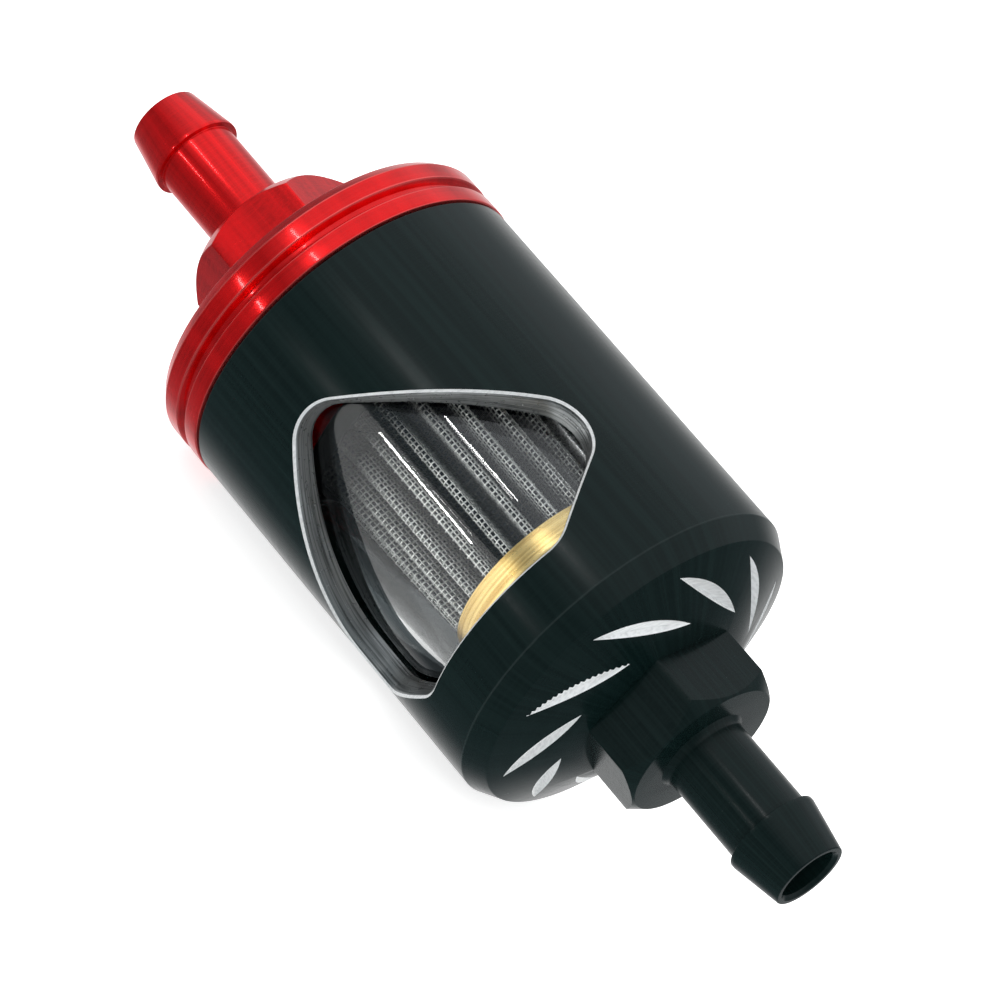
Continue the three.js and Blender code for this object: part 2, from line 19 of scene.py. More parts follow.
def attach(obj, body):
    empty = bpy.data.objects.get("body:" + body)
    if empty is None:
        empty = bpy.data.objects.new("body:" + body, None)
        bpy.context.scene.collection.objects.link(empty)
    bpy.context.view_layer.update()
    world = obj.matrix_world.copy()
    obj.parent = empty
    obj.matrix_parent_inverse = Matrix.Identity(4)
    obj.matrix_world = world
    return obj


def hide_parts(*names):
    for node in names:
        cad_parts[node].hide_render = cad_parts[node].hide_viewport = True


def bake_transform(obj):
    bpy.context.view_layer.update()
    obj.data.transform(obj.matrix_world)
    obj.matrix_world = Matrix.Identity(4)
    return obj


LOG = logging.getLogger("fuel_filter")

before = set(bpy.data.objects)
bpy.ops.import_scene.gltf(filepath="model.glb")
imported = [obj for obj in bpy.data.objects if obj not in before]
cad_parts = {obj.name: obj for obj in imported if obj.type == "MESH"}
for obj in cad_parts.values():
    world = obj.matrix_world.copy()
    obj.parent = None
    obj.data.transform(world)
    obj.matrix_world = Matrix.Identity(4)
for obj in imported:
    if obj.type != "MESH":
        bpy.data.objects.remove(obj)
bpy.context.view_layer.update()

MM = 0.001
ORIGIN_STATION = 15.125
ROUND_SEGMENTS = 256
SMALL_SEGMENTS = 96
OVERRUN = 1.0
SHARP_ANGLE = math.radians(26)
MIN_RADIUS = 1e-6
MAX_DRIFT = 0.2

Colour = tuple[float, float, float]
Corner = tuple[float, float, float]


class Body(Enum):
    """The CAD bodies that a piece can ride on."""

    HOUSING = "housing"
    ELEMENT = "element"
    CAP = "cap"


class Slot(Enum):
    """The record's material slots."""

    BLACK = "black_anodised"
    RED = "red_anodised"
    GLASS = "clear_glass"
    RUBBER = "black_rubber"
    PLASTIC = "black_plastic"
    BRASS = "pressed_brass"
    STEEL = "bright_steel"
    WOVEN = "woven_steel"


class Cut(Enum):
    """How one solid acts on another."""

    JOIN = "UNION"
    REMOVE = "DIFFERENCE"
    KEEP = "INTERSECT"


class Skin(Enum):
    """The face kinds of a machined solid, as material indices while it is being cut."""

    TURNED = 0
    BARE = 1
    WALL = 2
    MILLED = 3


# ---------------------------------------------------------------- points and meshes


def polar(station: np.ndarray, radius: np.ndarray, angle: np.ndarray) -> np.ndarray:
    """Points in the row frame from places round the axis.

    Args:
        station: Distances along the axis in millimetres.
        radius: Distances from the axis in millimetres.
        angle: Angles round the axis in degrees.

    Returns:
        An array of points in metres, its last side three long.
    """
    turn = np.radians(angle)
    parts = np.broadcast_arrays(
        np.asarray(station, float) - ORIGIN_STATION, -radius * np.sin(turn), radius * np.cos(turn)
    )
    return np.stack(parts, axis=-1) * MM


def section_at(flat: np.ndarray, station: float) -> np.ndarray:
    """Points in metres from Y and Z in millimetres, at one station."""
    return np.hstack([np.full((len(flat), 1), station - ORIGIN_STATION), flat]) * MM


def rounded(corners: Sequence[Corner], closed: bool = False, steps: int = 5) -> np.ndarray:
    """An outline whose corners are arcs.

    Args:
        corners: Two coordinates and the fillet radius of each corner, in millimetres.
        closed: Whether the last corner joins the first.
        steps: Number of pieces in each arc.

    Returns:
        The outline's points, two columns.
    """
    points = np.array([corner[:2] for corner in corners], float)
    out: list[np.ndarray] = []
    count = len(points)
    for i, (here, corner) in enumerate(zip(points, corners)):
        fillet = corner[2]
        if fillet <= 0 or (not closed and i in (0, count - 1)):
            out.append(here)
            continue
        before, after = points[i - 1] - here, points[(i + 1) % count] - here
        reach = 0.45 * min(np.linalg.norm(before), np.linalg.norm(after))
        before, after = before / np.linalg.norm(before), after / np.linalg.norm(after)
        half = math.acos(float(np.clip(before @ after, -1, 1))) / 2
        setback = min(fillet / math.tan(half), reach)
        radius = setback * math.tan(half)
        middle = (before + after) / np.linalg.norm(before + after)
        centre = here + middle * (radius / math.sin(half))
        start, end = here + before * setback - centre, here + after * setback - centre
        sweep = math.pi - 2 * half
        side = math.copysign(1.0, start[0] * end[1] - start[1] * end[0])
        for step in range(steps + 1):
            turn = side * sweep * step / steps
            spin = np.array([[math.cos(turn), -math.sin(turn)], [math.sin(turn), math.cos(turn)]])
            out.append(centre + spin @ start)
    return np.array(out)


def mesh_piece(
    name: str,
    points: np.ndarray,
    faces: Iterable[Sequence[int]],
    materials: Sequence[bpy.types.Material] = (),
    skin: Skin = Skin.TURNED,
) -> bpy.types.Object:
    """A new object with smooth faces that point outwards.

    Args:
        name: The object's name.
        points: Its vertices in metres.
        faces: Its faces as vertex numbers.
        materials: Its materials in slot order.
        skin: The face kind that all its faces start with.

    Returns:
        The linked object.
    """
    mesh = bpy.data.meshes.new(name)
    mesh.from_pydata(points.reshape(-1, 3).tolist(), [], [list(face) for face in faces])
    mesh.update()
    if signed_volume(mesh) < 0:
        mesh.flip_normals()
    for material in materials:
        mesh.materials.append(material)
    if len(materials) > 1:
        mesh.polygons.foreach_set("material_index", [skin.value] * len(mesh.polygons))
    mesh.polygons.foreach_set("use_smooth", [True] * len(mesh.polygons))
    piece = bpy.data.objects.new(name, mesh)
    bpy.context.scene.collection.objects.link(piece)
    return piece


def read(rows: bpy.types.bpy_prop_collection, name: str, width: int = 1, kind: type = np.int32) -> np.ndarray:
    """One value of each item of a mesh, as an array of that many columns."""
    values = np.empty(len(rows) * width, kind)
    rows.foreach_get(name, values)
    return values if width == 1 else values.reshape(-1, width)


def signed_volume(mesh: bpy.types.Mesh) -> float:
    """The volume inside a closed mesh, negative where its faces point inwards."""
    mesh.calc_loop_triangles()
    triangles = read(mesh.loop_triangles, "vertices", 3)
    a, b, c = read(mesh.vertices, "co", 3, float)[triangles].transpose(1, 0, 2)
    return float(np.einsum("ij,ij->i", a, np.cross(b, c)).sum() / 6)


def turned(outline: np.ndarray, segments: int = ROUND_SEGMENTS) -> tuple[np.ndarray, list[list[int]]]:
    """A turned solid from an outline of stations and radii.

    Args:
        outline: A closed ring of points, or one that starts and ends on the axis.
        segments: Number of steps round the axis.

    Returns:
        Points in metres and faces.
    """
    on_axis = outline[0, 1] < 1e-9
    ring = outline[1:-1] if on_axis else outline
    count = len(ring)
    angles = np.arange(segments) * 360.0 / segments
    points = polar(ring[:, 0][None, :], ring[:, 1][None, :], angles[:, None]).reshape(-1, 3)
    faces: list[list[int]] = []
    rows = count - 1 if on_axis else count
    for i in range(segments):
        a, b = i * count, ((i + 1) % segments) * count
        for j in range(rows):
            k = (j + 1) % count
            faces.append([a + j, a + k, b + k, b + j])
    if on_axis:
        first, last = len(points), len(points) + 1
        poles = polar(outline[[0, -1], 0], np.zeros(2), np.zeros(2))
        points = np.vstack([points, poles])
        for i in range(segments):
            a, b = i * count, ((i + 1) % segments) * count
            faces.append([first, a, b])
            faces.append([last, b + count - 1, a + count - 1])
    return points, faces


def drawn(loops: Sequence[np.ndarray]) -> tuple[np.ndarray, list[list[int]]]:
    """A solid skin over equal loops of points, closed by a face at each end.

    Args:
        loops: Arrays of points in metres, all of one length.

    Returns:
        Points in metres and faces.
    """
    count = len(loops[0])
    faces: list[list[int]] = []
    for level in range(len(loops) - 1):
        base = level * count
        for i in range(count):
            j = (i + 1) % count
            faces.append([base + i, base + j, base + count + j, base + count + i])
    last = (len(loops) - 1) * count
    faces.append(list(range(count))[::-1])
    faces.append([last + i for i in range(count)])
    return np.vstack(loops), faces


def baked(piece: bpy.types.Object) -> bpy.types.Object:
    """The same object with its modifiers made part of its mesh."""
    graph = bpy.context.evaluated_depsgraph_get()
    mesh = bpy.data.meshes.new_from_object(piece.evaluated_get(graph))
    old = piece.data
    piece.modifiers.clear()
    piece.data = mesh
    mesh.name = piece.name
    bpy.data.meshes.remove(old)
    return piece


def carve(base: bpy.types.Object, tool: bpy.types.Object, cut: Cut) -> bpy.types.Object:
    """Joins, removes or keeps what a tool covers of a solid, and deletes the tool.

    Args:
        base: The solid to change.
        tool: The closed solid that acts on it.
        cut: What the tool does.

    Returns:
        The changed solid.
    """
    modifier = base.modifiers.new("carve", "BOOLEAN")
    modifier.operation = cut.value
    modifier.solver = "MANIFOLD"
    modifier.object = tool
    baked(base)
    bpy.data.objects.remove(tool)
    return base


def dress_edges(piece: bpy.types.Object) -> None:
    """Makes a machined solid's turned faces shade as true rounds and its edges as crisp.

    Args:
        piece: The solid, whose MILLED faces become TURNED ones at the end.
    """
    mesh = piece.data
    mesh.polygons.foreach_set("use_smooth", [True] * len(mesh.polygons))
    mesh.set_sharp_from_angle(angle=SHARP_ANGLE)
    normals = read(mesh.corner_normals, "vector", 3, float)
    place = read(mesh.vertices, "co", 3, float)[read(mesh.loops, "vertex_index")]
    skins = read(mesh.polygons, "material_index")
    round_face = np.repeat(skins == Skin.TURNED.value, read(mesh.polygons, "loop_total"))
    across = np.stack([np.zeros(len(place)), -place[:, 2], place[:, 1]], axis=1)
    length = np.linalg.norm(across, axis=1)
    round_face &= length > MIN_RADIUS
    across[round_face] /= length[round_face, None]
    drift = np.einsum("ij,ij->i", normals, across)
    round_face &= np.abs(drift) < MAX_DRIFT
    normals[round_face] -= across[round_face] * drift[round_face, None]
    normals /= np.maximum(np.linalg.norm(normals, axis=1, keepdims=True), 1e-9)
    mesh.normals_split_custom_set(normals.tolist())
    skins[skins == Skin.MILLED.value] = Skin.TURNED.value
    mesh.polygons.foreach_set("material_index", skins)
    while len(mesh.materials) > Skin.MILLED.value:
        mesh.materials.pop()
    mesh.update()


def settle(piece: bpy.types.Object, body: Body, slot: Slot, *nodes: str) -> bpy.types.Object:
    """Puts a finished piece on its body and in place of its CAD nodes."""
    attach(piece, body.value)
    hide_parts(*nodes)
    LOG.info("%s: %d faces on %s", piece.name, len(piece.data.polygons), body.value)
    return piece


# ---------------------------------------------------------------- node trees


class Nodes:
    """Adds and links the nodes of one tree."""

    def __init__(self, tree: bpy.types.NodeTree) -> None:
        """Starts on a tree."""
        self.tree = tree

    def add(self, kind: str, inputs: dict | None = None, **settings: object) -> bpy.types.Node:
        """A new node.

        Args:
            kind: The node's type.
            inputs: Values or output sockets, by input name or number.
            **settings: The node's own properties.

        Returns:
            The node.
        """
        node = self.tree.nodes.new(kind)
        for key, value in settings.items():
            setattr(node, key, value)
        for key, value in (inputs or {}).items():
            socket = node.inputs[key]
            if isinstance(value, bpy.types.NodeSocket):
                self.tree.links.new(value, socket)
            else:
                socket.default_value = value
        return node

    def math(self, operation: str, *values: object) -> bpy.types.NodeSocket:
        """The result of a Math node."""
        return self.add("ShaderNodeMath", dict(enumerate(values)), operation=operation).outputs[0]

    def mix(self, share: object, low: object, high: object) -> bpy.types.NodeSocket:
        """A colour between two, by a share."""
        node = self.add("ShaderNodeMix", {0: share, 6: low, 7: high}, data_type="RGBA")
        return node.outputs[2]

    def ramp(self, value: object, low: float, high: float, start: float, end: float) -> bpy.types.NodeSocket:
        """A value moved from one range to another and held inside it."""
        inputs = {"Value": value, "From Min": low, "From Max": high, "To Min": start, "To Max": end}
        return self.add("ShaderNodeMapRange", inputs).outputs["Result"]

    def point(self, x: object, y: object, z: object) -> bpy.types.NodeSocket:
        """A vector from three numbers."""
        return self.add("ShaderNodeCombineXYZ", {0: x, 1: y, 2: z}).outputs[0]

    def noise(self, vector: object, scale: float, detail: float = 2.0) -> bpy.types.NodeSocket:
        """A Noise texture's value."""
        inputs = {"Vector": vector, "Scale": scale, "Detail": detail}
        return self.add("ShaderNodeTexNoise", inputs).outputs[0]


@dataclass(frozen=True)
class SocketSpec:
    """One input or output of a node group."""

    name: str
    kind: str = "NodeSocketFloat"
    default: float | None = None


def new_group(name: str, kind: str, ins: Sequence[SocketSpec], outs: Sequence[SocketSpec]) -> tuple:
    """A node group with named sockets.

    Args:
        name: The group's name.
        kind: ShaderNodeTree or GeometryNodeTree.
        ins: Its inputs.
        outs: Its outputs.

    Returns:
        The tree, its builder, its input node and its output node.
    """
    tree = bpy.data.node_groups.new(name, kind)
    for direction, specs in (("INPUT", ins), ("OUTPUT", outs)):
        for spec in specs:
            socket = tree.interface.new_socket(spec.name, in_out=direction, socket_type=spec.kind)
            if spec.default is not None:
                socket.default_value = spec.default
    nodes = Nodes(tree)
    return tree, nodes, nodes.add("NodeGroupInput"), nodes.add("NodeGroupOutput")


def axis_place(nodes: Nodes) -> tuple:
    """Station and radius in millimetres, and the two parts of the direction from the axis."""
    coordinates = nodes.add("ShaderNodeTexCoord").outputs["Object"]
    parts = nodes.add("ShaderNodeSeparateXYZ", {0: coordinates})
    across, up = parts.outputs[1], parts.outputs[2]
    squares = nodes.math("ADD", nodes.math("POWER", across, 2.0), nodes.math("POWER", up, 2.0))
    radius = nodes.math("SQRT", squares)
    safe = nodes.math("MAXIMUM", radius, 1e-5)
    station = nodes.math("MULTIPLY_ADD", parts.outputs[0], 1 / MM, ORIGIN_STATION)
    return (
        station,
        nodes.math("MULTIPLY", radius, 1 / MM),
        nodes.math("DIVIDE", across, safe),
        nodes.math("DIVIDE", up, safe),
    )


@dataclass(frozen=True)
class SurfaceEffects:
    """The shader groups that several finishes share."""

    tool_lines: bpy.types.NodeTree
    axial_streaks: bpy.types.NodeTree
    grain: bpy.types.NodeTree
    edge_band: bpy.types.NodeTree

    @classmethod
    def build(cls) -> "SurfaceEffects":
        """Builds each group once."""
        return cls(cls._tool_lines(), cls._axial_streaks(), cls._grain(), cls._edge_band())

    @staticmethod
    def _tool_lines() -> bpy.types.NodeTree:
        """Fine lines round the axis, as a lathe tool leaves them."""
        ins = [
            SocketSpec("Lines per mm", default=5.0),
            SocketSpec("Wander", default=0.3),
            SocketSpec("Station share", default=1.0),
        ]
        outs = [SocketSpec("Height"), SocketSpec("Mask")]
        tree, n, start, end = new_group("tool_lines", "ShaderNodeTree", ins, outs)
        station, radius, across, up = axis_place(n)
        lines, wander = start.outputs["Lines per mm"], start.outputs["Wander"]
        vector = n.point(
            n.math("MULTIPLY", n.math("MULTIPLY", station, lines), start.outputs["Station share"]),
            n.math("MULTIPLY", radius, lines),
            n.math("MULTIPLY", n.math("ADD", across, up), wander),
        )
        fine = n.noise(vector, 1.0, 3.0)
        n.tree.links.new(fine, end.inputs["Height"])
        n.tree.links.new(n.ramp(fine, 0.42, 0.66, 0.0, 1.0), end.inputs["Mask"])
        return tree

    @staticmethod
    def _axial_streaks() -> bpy.types.NodeTree:
        """Soft streaks that run along the axis."""
        ins = [SocketSpec("Streaks", default=20.0), SocketSpec("Drift per mm", default=0.02)]
        outs = [SocketSpec("Height"), SocketSpec("Mask")]
        tree, n, start, end = new_group("axial_streaks", "ShaderNodeTree", ins, outs)
        station, _, across, up = axis_place(n)
        streaks = start.outputs["Streaks"]
        vector = n.point(
            n.math("MULTIPLY", across, streaks),
            n.math("MULTIPLY", up, streaks),
            n.math("MULTIPLY", station, start.outputs["Drift per mm"]),
        )
        soft = n.noise(vector, 1.0, 4.0)
        n.tree.links.new(soft, end.inputs["Height"])
        n.tree.links.new(n.ramp(soft, 0.4, 0.68, 0.0, 1.0), end.inputs["Mask"])
        return tree

    @staticmethod
    def _grain() -> bpy.types.NodeTree:
        """Even grain with sparse specks, its size in millimetres."""
        ins = [SocketSpec("Size", default=0.2), SocketSpec("Speck share", default=0.72)]
        outs = [SocketSpec("Height"), SocketSpec("Specks")]
        tree, n, start, end = new_group("grain", "ShaderNodeTree", ins, outs)
        coordinates = n.add("ShaderNodeTexCoord").outputs["Object"]
        scale = n.math("DIVIDE", 1 / MM, start.outputs["Size"])
        even = n.add("ShaderNodeTexNoise", {"Vector": coordinates, "Scale": scale, "Detail": 4.0}).outputs[0]
        wide = n.noise(coordinates, 420.0, 3.0)
        shifted = n.math("ADD", even, n.math("MULTIPLY", n.math("SUBTRACT", wide, 0.5), 0.3))
        specks = n.math("MULTIPLY", n.math("SUBTRACT", shifted, start.outputs["Speck share"]), 12.0)
        n.tree.links.new(even, end.inputs["Height"])
        n.tree.links.new(n.ramp(specks, 0.0, 1.0, 0.0, 1.0), end.inputs["Specks"])
        return tree

    @staticmethod
    def _edge_band() -> bpy.types.NodeTree:
        """A ragged bright band round the axis at one station, along an edge: part rubbed wear, part painted
        highlight.
        """
        ins = [SocketSpec("Station"), SocketSpec("Half width", default=0.15)]
        tree, n, start, end = new_group("edge_band", "ShaderNodeTree", ins, [SocketSpec("Mask")])
        station, _, across, up = axis_place(n)
        ragged = n.noise(n.point(across, up, n.math("MULTIPLY", station, 2.0)), 9.0, 5.0)
        away = n.math("ABSOLUTE", n.math("SUBTRACT", station, start.outputs["Station"]))
        width = n.math("MULTIPLY", start.outputs["Half width"], n.math("ADD", ragged, 0.45))
        share = n.math("DIVIDE", away, width)
        n.tree.links.new(n.ramp(share, 0.5, 1.0, 1.0, 0.0), end.inputs["Mask"])
        return tree


def new_material(name: str) -> tuple[bpy.types.Material, Nodes, bpy.types.Node]:
    """A material with one Principled shader, its node builder and that shader."""
    material = bpy.data.materials.new(name)
    material.use_nodes = True
    material.node_tree.nodes.clear()
    nodes = Nodes(material.node_tree)
    shader = nodes.add("ShaderNodeBsdfPrincipled")
    nodes.add("ShaderNodeOutputMaterial", {"Surface": shader.outputs[0]})
    return material, nodes, shader


def relief(nodes: Nodes, shader: bpy.types.Node, height: bpy.types.NodeSocket, depth_mm: float) -> None:
    """Raises a surface by a height in millimetres through a Bump node."""
    bump = nodes.add("ShaderNodeBump", {"Height": height, "Distance": depth_mm * MM, "Strength": 1.0})
    nodes.tree.links.new(bump.outputs[0], shader.inputs["Normal"])


def grouped(nodes: Nodes, tree: bpy.types.NodeTree, **inputs: float) -> bpy.types.Node:
    """A group placed in a material, its inputs named with _ for spaces."""
    named = {key.replace("_", " "): value for key, value in inputs.items()}
    return nodes.add("ShaderNodeGroup", named, node_tree=tree)


@dataclass(frozen=True)
class AnodisedFinish:
    """Dyed anodised aluminium with lathe lines, soft streaks, rubbed specks and bright edge bands that are
    part rubbed wear and part painted highlight.
    """

    name: str
    deep: Colour
    light: Colour
    rubbed_and_highlight: Colour
    metallic: float
    roughness: float
    line_depth: float
    lines_per_mm: float
    streaks: float
    coat: float
    mirror: float
    wear_and_highlight: float
    edge_stations: tuple[float, ...]
    edge_half_width: float

    def build(self, effects: SurfaceEffects) -> bpy.types.Material:
        """The finish as a material."""
        material, n, shader = new_material(self.name)
        lines = grouped(n, effects.tool_lines, Lines_per_mm=self.lines_per_mm, Wander=0.4)
        streaks = grouped(n, effects.axial_streaks, Streaks=self.streaks, Drift_per_mm=0.03)
        grain = grouped(n, effects.grain, Size=0.12, Speck_share=0.7)
        colour = n.mix(streaks.outputs["Mask"], (*self.deep, 1), (*self.light, 1))
        colour = n.mix(n.math("MULTIPLY", lines.outputs["Mask"], 0.35), colour, (*self.light, 1))
        specks = n.math("MULTIPLY", grain.outputs["Specks"], 0.2 * self.wear_and_highlight)
        colour = n.mix(specks, colour, (*self.rubbed_and_highlight, 1))
        # Bright bands at these edge stations: part rubbed wear, part painted edge highlight.
        for station in self.edge_stations:
            band = grouped(n, effects.edge_band, Station=station, Half_width=self.edge_half_width)
            colour = n.mix(n.math("MULTIPLY", band.outputs["Mask"], self.wear_and_highlight), colour, (*self.rubbed_and_highlight, 1))
        n.tree.links.new(colour, shader.inputs["Base Color"])
        rough = n.math("MULTIPLY_ADD", lines.outputs["Height"], 0.14, self.roughness - 0.07)
        rough = n.math("ADD", rough, n.math("MULTIPLY", streaks.outputs["Mask"], 0.05))
        n.tree.links.new(rough, shader.inputs["Roughness"])
        shader.inputs["Metallic"].default_value = self.metallic
        shader.inputs["Specular IOR Level"].default_value = self.mirror
        shader.inputs["Coat Weight"].default_value = self.coat
        shader.inputs["Coat Roughness"].default_value = 0.08
        relief(n, shader, lines.outputs["Height"], self.line_depth)
        return material


@dataclass(frozen=True)
class BareMetalFinish:
    """Undyed metal with lines from a tool and a fine grain, with optional painted shade that is darker deep
    in the folds and towards the outlet end.
    """

    name: str
    deep: Colour
    light: Colour
    metallic: float
    roughness: float
    line_depth: float
    lines_per_mm: float
    grain_size: float
    grain_depth: float
    speck: float = 0.4
    station_share: float = 1.0
    # Painted shade: the share by which the colour darkens deep in the folds, between the radii, and towards
    # the outlet end, between the stations.
    painted_shade_strength: float = 0.0
    painted_shade_radii: tuple[float, float] = (7.3, 8.6)
    painted_shade_stations: tuple[float, float] = (10.5, 15.0)
    painted_shade: Colour = (0.01, 0.012, 0.01)

    def build(self, effects: SurfaceEffects) -> bpy.types.Material:
        """The finish as a material."""
        material, n, shader = new_material(self.name)
        settings = {"Lines_per_mm": self.lines_per_mm, "Wander": 0.8, "Station_share": self.station_share}
        lines = grouped(n, effects.tool_lines, **settings)
        grain = grouped(n, effects.grain, Size=self.grain_size, Speck_share=0.66)
        colour = n.mix(lines.outputs["Mask"], (*self.light, 1), (*self.deep, 1))
        colour = n.mix(n.math("MULTIPLY", grain.outputs["Specks"], self.speck), colour, (*self.deep, 1))
        # Painted shade: the colour goes darker deeper in the folds and towards the outlet end.
        if self.painted_shade_strength:
            station, radius = axis_place(n)[:2]
            painted_shade = n.ramp(radius, *self.painted_shade_radii, self.painted_shade_strength, 0.0)
            painted_shade = n.math("MAXIMUM", painted_shade, n.ramp(station, *self.painted_shade_stations, self.painted_shade_strength, 0.0))
            colour = n.mix(painted_shade, colour, (*self.painted_shade, 1))
        n.tree.links.new(colour, shader.inputs["Base Color"])
        rough = n.math("MULTIPLY_ADD", grain.outputs["Height"], 0.2, self.roughness - 0.1)
        n.tree.links.new(rough, shader.inputs["Roughness"])
        shader.inputs["Metallic"].default_value = self.metallic
        share = self.grain_depth / self.line_depth
        height = n.math("MULTIPLY_ADD", grain.outputs["Height"], share, lines.outputs["Height"])
        relief(n, shader, height, self.line_depth)
        return material


@dataclass(frozen=True)
class RubberFinish:
    """Matt moulded rubber with a fine bloom."""

    name: str
    deep: Colour
    bloom: Colour
    mirror: float = 0.2

    def build(self, effects: SurfaceEffects) -> bpy.types.Material:
        """The finish as a material."""
        material, n, shader = new_material(self.name)
        grain = grouped(n, effects.grain, Size=0.15, Speck_share=0.62)
        colour = n.mix(grain.outputs["Height"], (*self.deep, 1), (*self.bloom, 1))
        n.tree.links.new(colour, shader.inputs["Base Color"])
        shader.inputs["Specular IOR Level"].default_value = self.mirror
        rough = n.math("MULTIPLY_ADD", grain.outputs["Height"], 0.25, 0.5)
        n.tree.links.new(rough, shader.inputs["Roughness"])
        relief(n, shader, grain.outputs["Height"], 0.01)
        return material


@dataclass(frozen=True)
class GlassFinish:
    """Clear drawn glass with the faintest ripple along its length."""

    name: str
    tint: Colour
    refraction: float = 1.5
    mirror: float = 0.25

    def build(self, effects: SurfaceEffects) -> bpy.types.Material:
        """The finish as a material, which lets light through to what it covers."""
        material = bpy.data.materials.new(self.name)
        material.use_nodes = True
        material.node_tree.nodes.clear()
        n = Nodes(material.node_tree)
        shader = n.add("ShaderNodeBsdfPrincipled")
        streaks = grouped(n, effects.axial_streaks, Streaks=9.0, Drift_per_mm=0.05)
        grain = grouped(n, effects.grain, Size=0.4, Speck_share=0.7)
        clear = (*self.tint, 1)
        colour = n.mix(n.math("MULTIPLY", streaks.outputs["Mask"], 0.3), clear, (1, 1, 1, 1))
        n.tree.links.new(colour, shader.inputs["Base Color"])
        rough = n.math("MULTIPLY_ADD", grain.outputs["Specks"], 0.06, 0.004)
        n.tree.links.new(rough, shader.inputs["Roughness"])
        shader.inputs["IOR"].default_value = self.refraction
        shader.inputs["Specular IOR Level"].default_value = self.mirror
        shader.inputs["Transmission Weight"].default_value = 1.0
        relief(n, shader, streaks.outputs["Height"], 0.002)
        see_through = n.add("ShaderNodeBsdfTransparent")
        path = n.add("ShaderNodeLightPath")
        both = n.add(
            "ShaderNodeMixShader",
            {0: path.outputs["Is Shadow Ray"], 1: shader.outputs[0], 2: see_through.outputs[0]},
        )
        n.add("ShaderNodeOutputMaterial", {"Surface": both.outputs[0]})
        return material


@dataclass(frozen=True)
class WovenFinish:
    """Fine woven wire cloth on a sheet whose UV map is in millimetres."""

    name: str
    gap: Colour
    wire: Colour
    tint: Colour
    wire_pitch: float

    def build(self, effects: SurfaceEffects) -> bpy.types.Material:
        """The finish as a material."""
        material, n, shader = new_material(self.name)
        flat = n.add("ShaderNodeUVMap", uv_map="cloth").outputs[0]
        parts = n.add("ShaderNodeSeparateXYZ", {0: flat})
        turn = 2 * math.pi / self.wire_pitch
        across = n.math("MULTIPLY", parts.outputs[0], turn)
        along = n.math("MULTIPLY", parts.outputs[1], turn)
        warp = n.math("SINE", n.math("ADD", across, along))
        weft = n.math("SINE", n.math("SUBTRACT", along, n.math("MULTIPLY", across, 0.5)))
        height = n.math("MAXIMUM", warp, n.math("MULTIPLY", weft, 0.8))
        grain = grouped(n, effects.grain, Size=0.5, Speck_share=0.6)
        share = n.ramp(height, -0.3, 0.9, 0.0, 1.0)
        bright = n.mix(grain.outputs["Height"], (*self.wire, 1), (*self.tint, 1))
        colour = n.mix(share, (*self.gap, 1), bright)
        n.tree.links.new(colour, shader.inputs["Base Color"])
        n.tree.links.new(n.ramp(height, -1.0, 1.0, 0.6, 0.32), shader.inputs["Roughness"])
        shader.inputs["Metallic"].default_value = 0.75
        relief(n, shader, height, 0.03)
        return material


@dataclass(frozen=True)
class FloorFinish:
    """Plain pale board."""

    name: str = "pale_board"
    pale: Colour = (0.9, 0.9, 0.9)
    mottle: Colour = (0.86, 0.87, 0.88)
    glow: float = 0.85

    def build(self) -> bpy.types.Material:
        """The finish as a material."""
        material, n, shader = new_material(self.name)
        coordinates = n.add("ShaderNodeTexCoord").outputs["Object"]
        soft = n.noise(coordinates, 6.0, 3.0)
        colour = n.mix(n.math("MULTIPLY", soft, 0.04), (*self.pale, 1), (*self.mottle, 1))
        n.tree.links.new(colour, shader.inputs["Base Color"])
        n.tree.links.new(colour, shader.inputs["Emission Color"])
        shader.inputs["Emission Strength"].default_value = self.glow
        shader.inputs["Roughness"].default_value = 0.9
        shader.inputs["Specular IOR Level"].default_value = 0.0
        return material


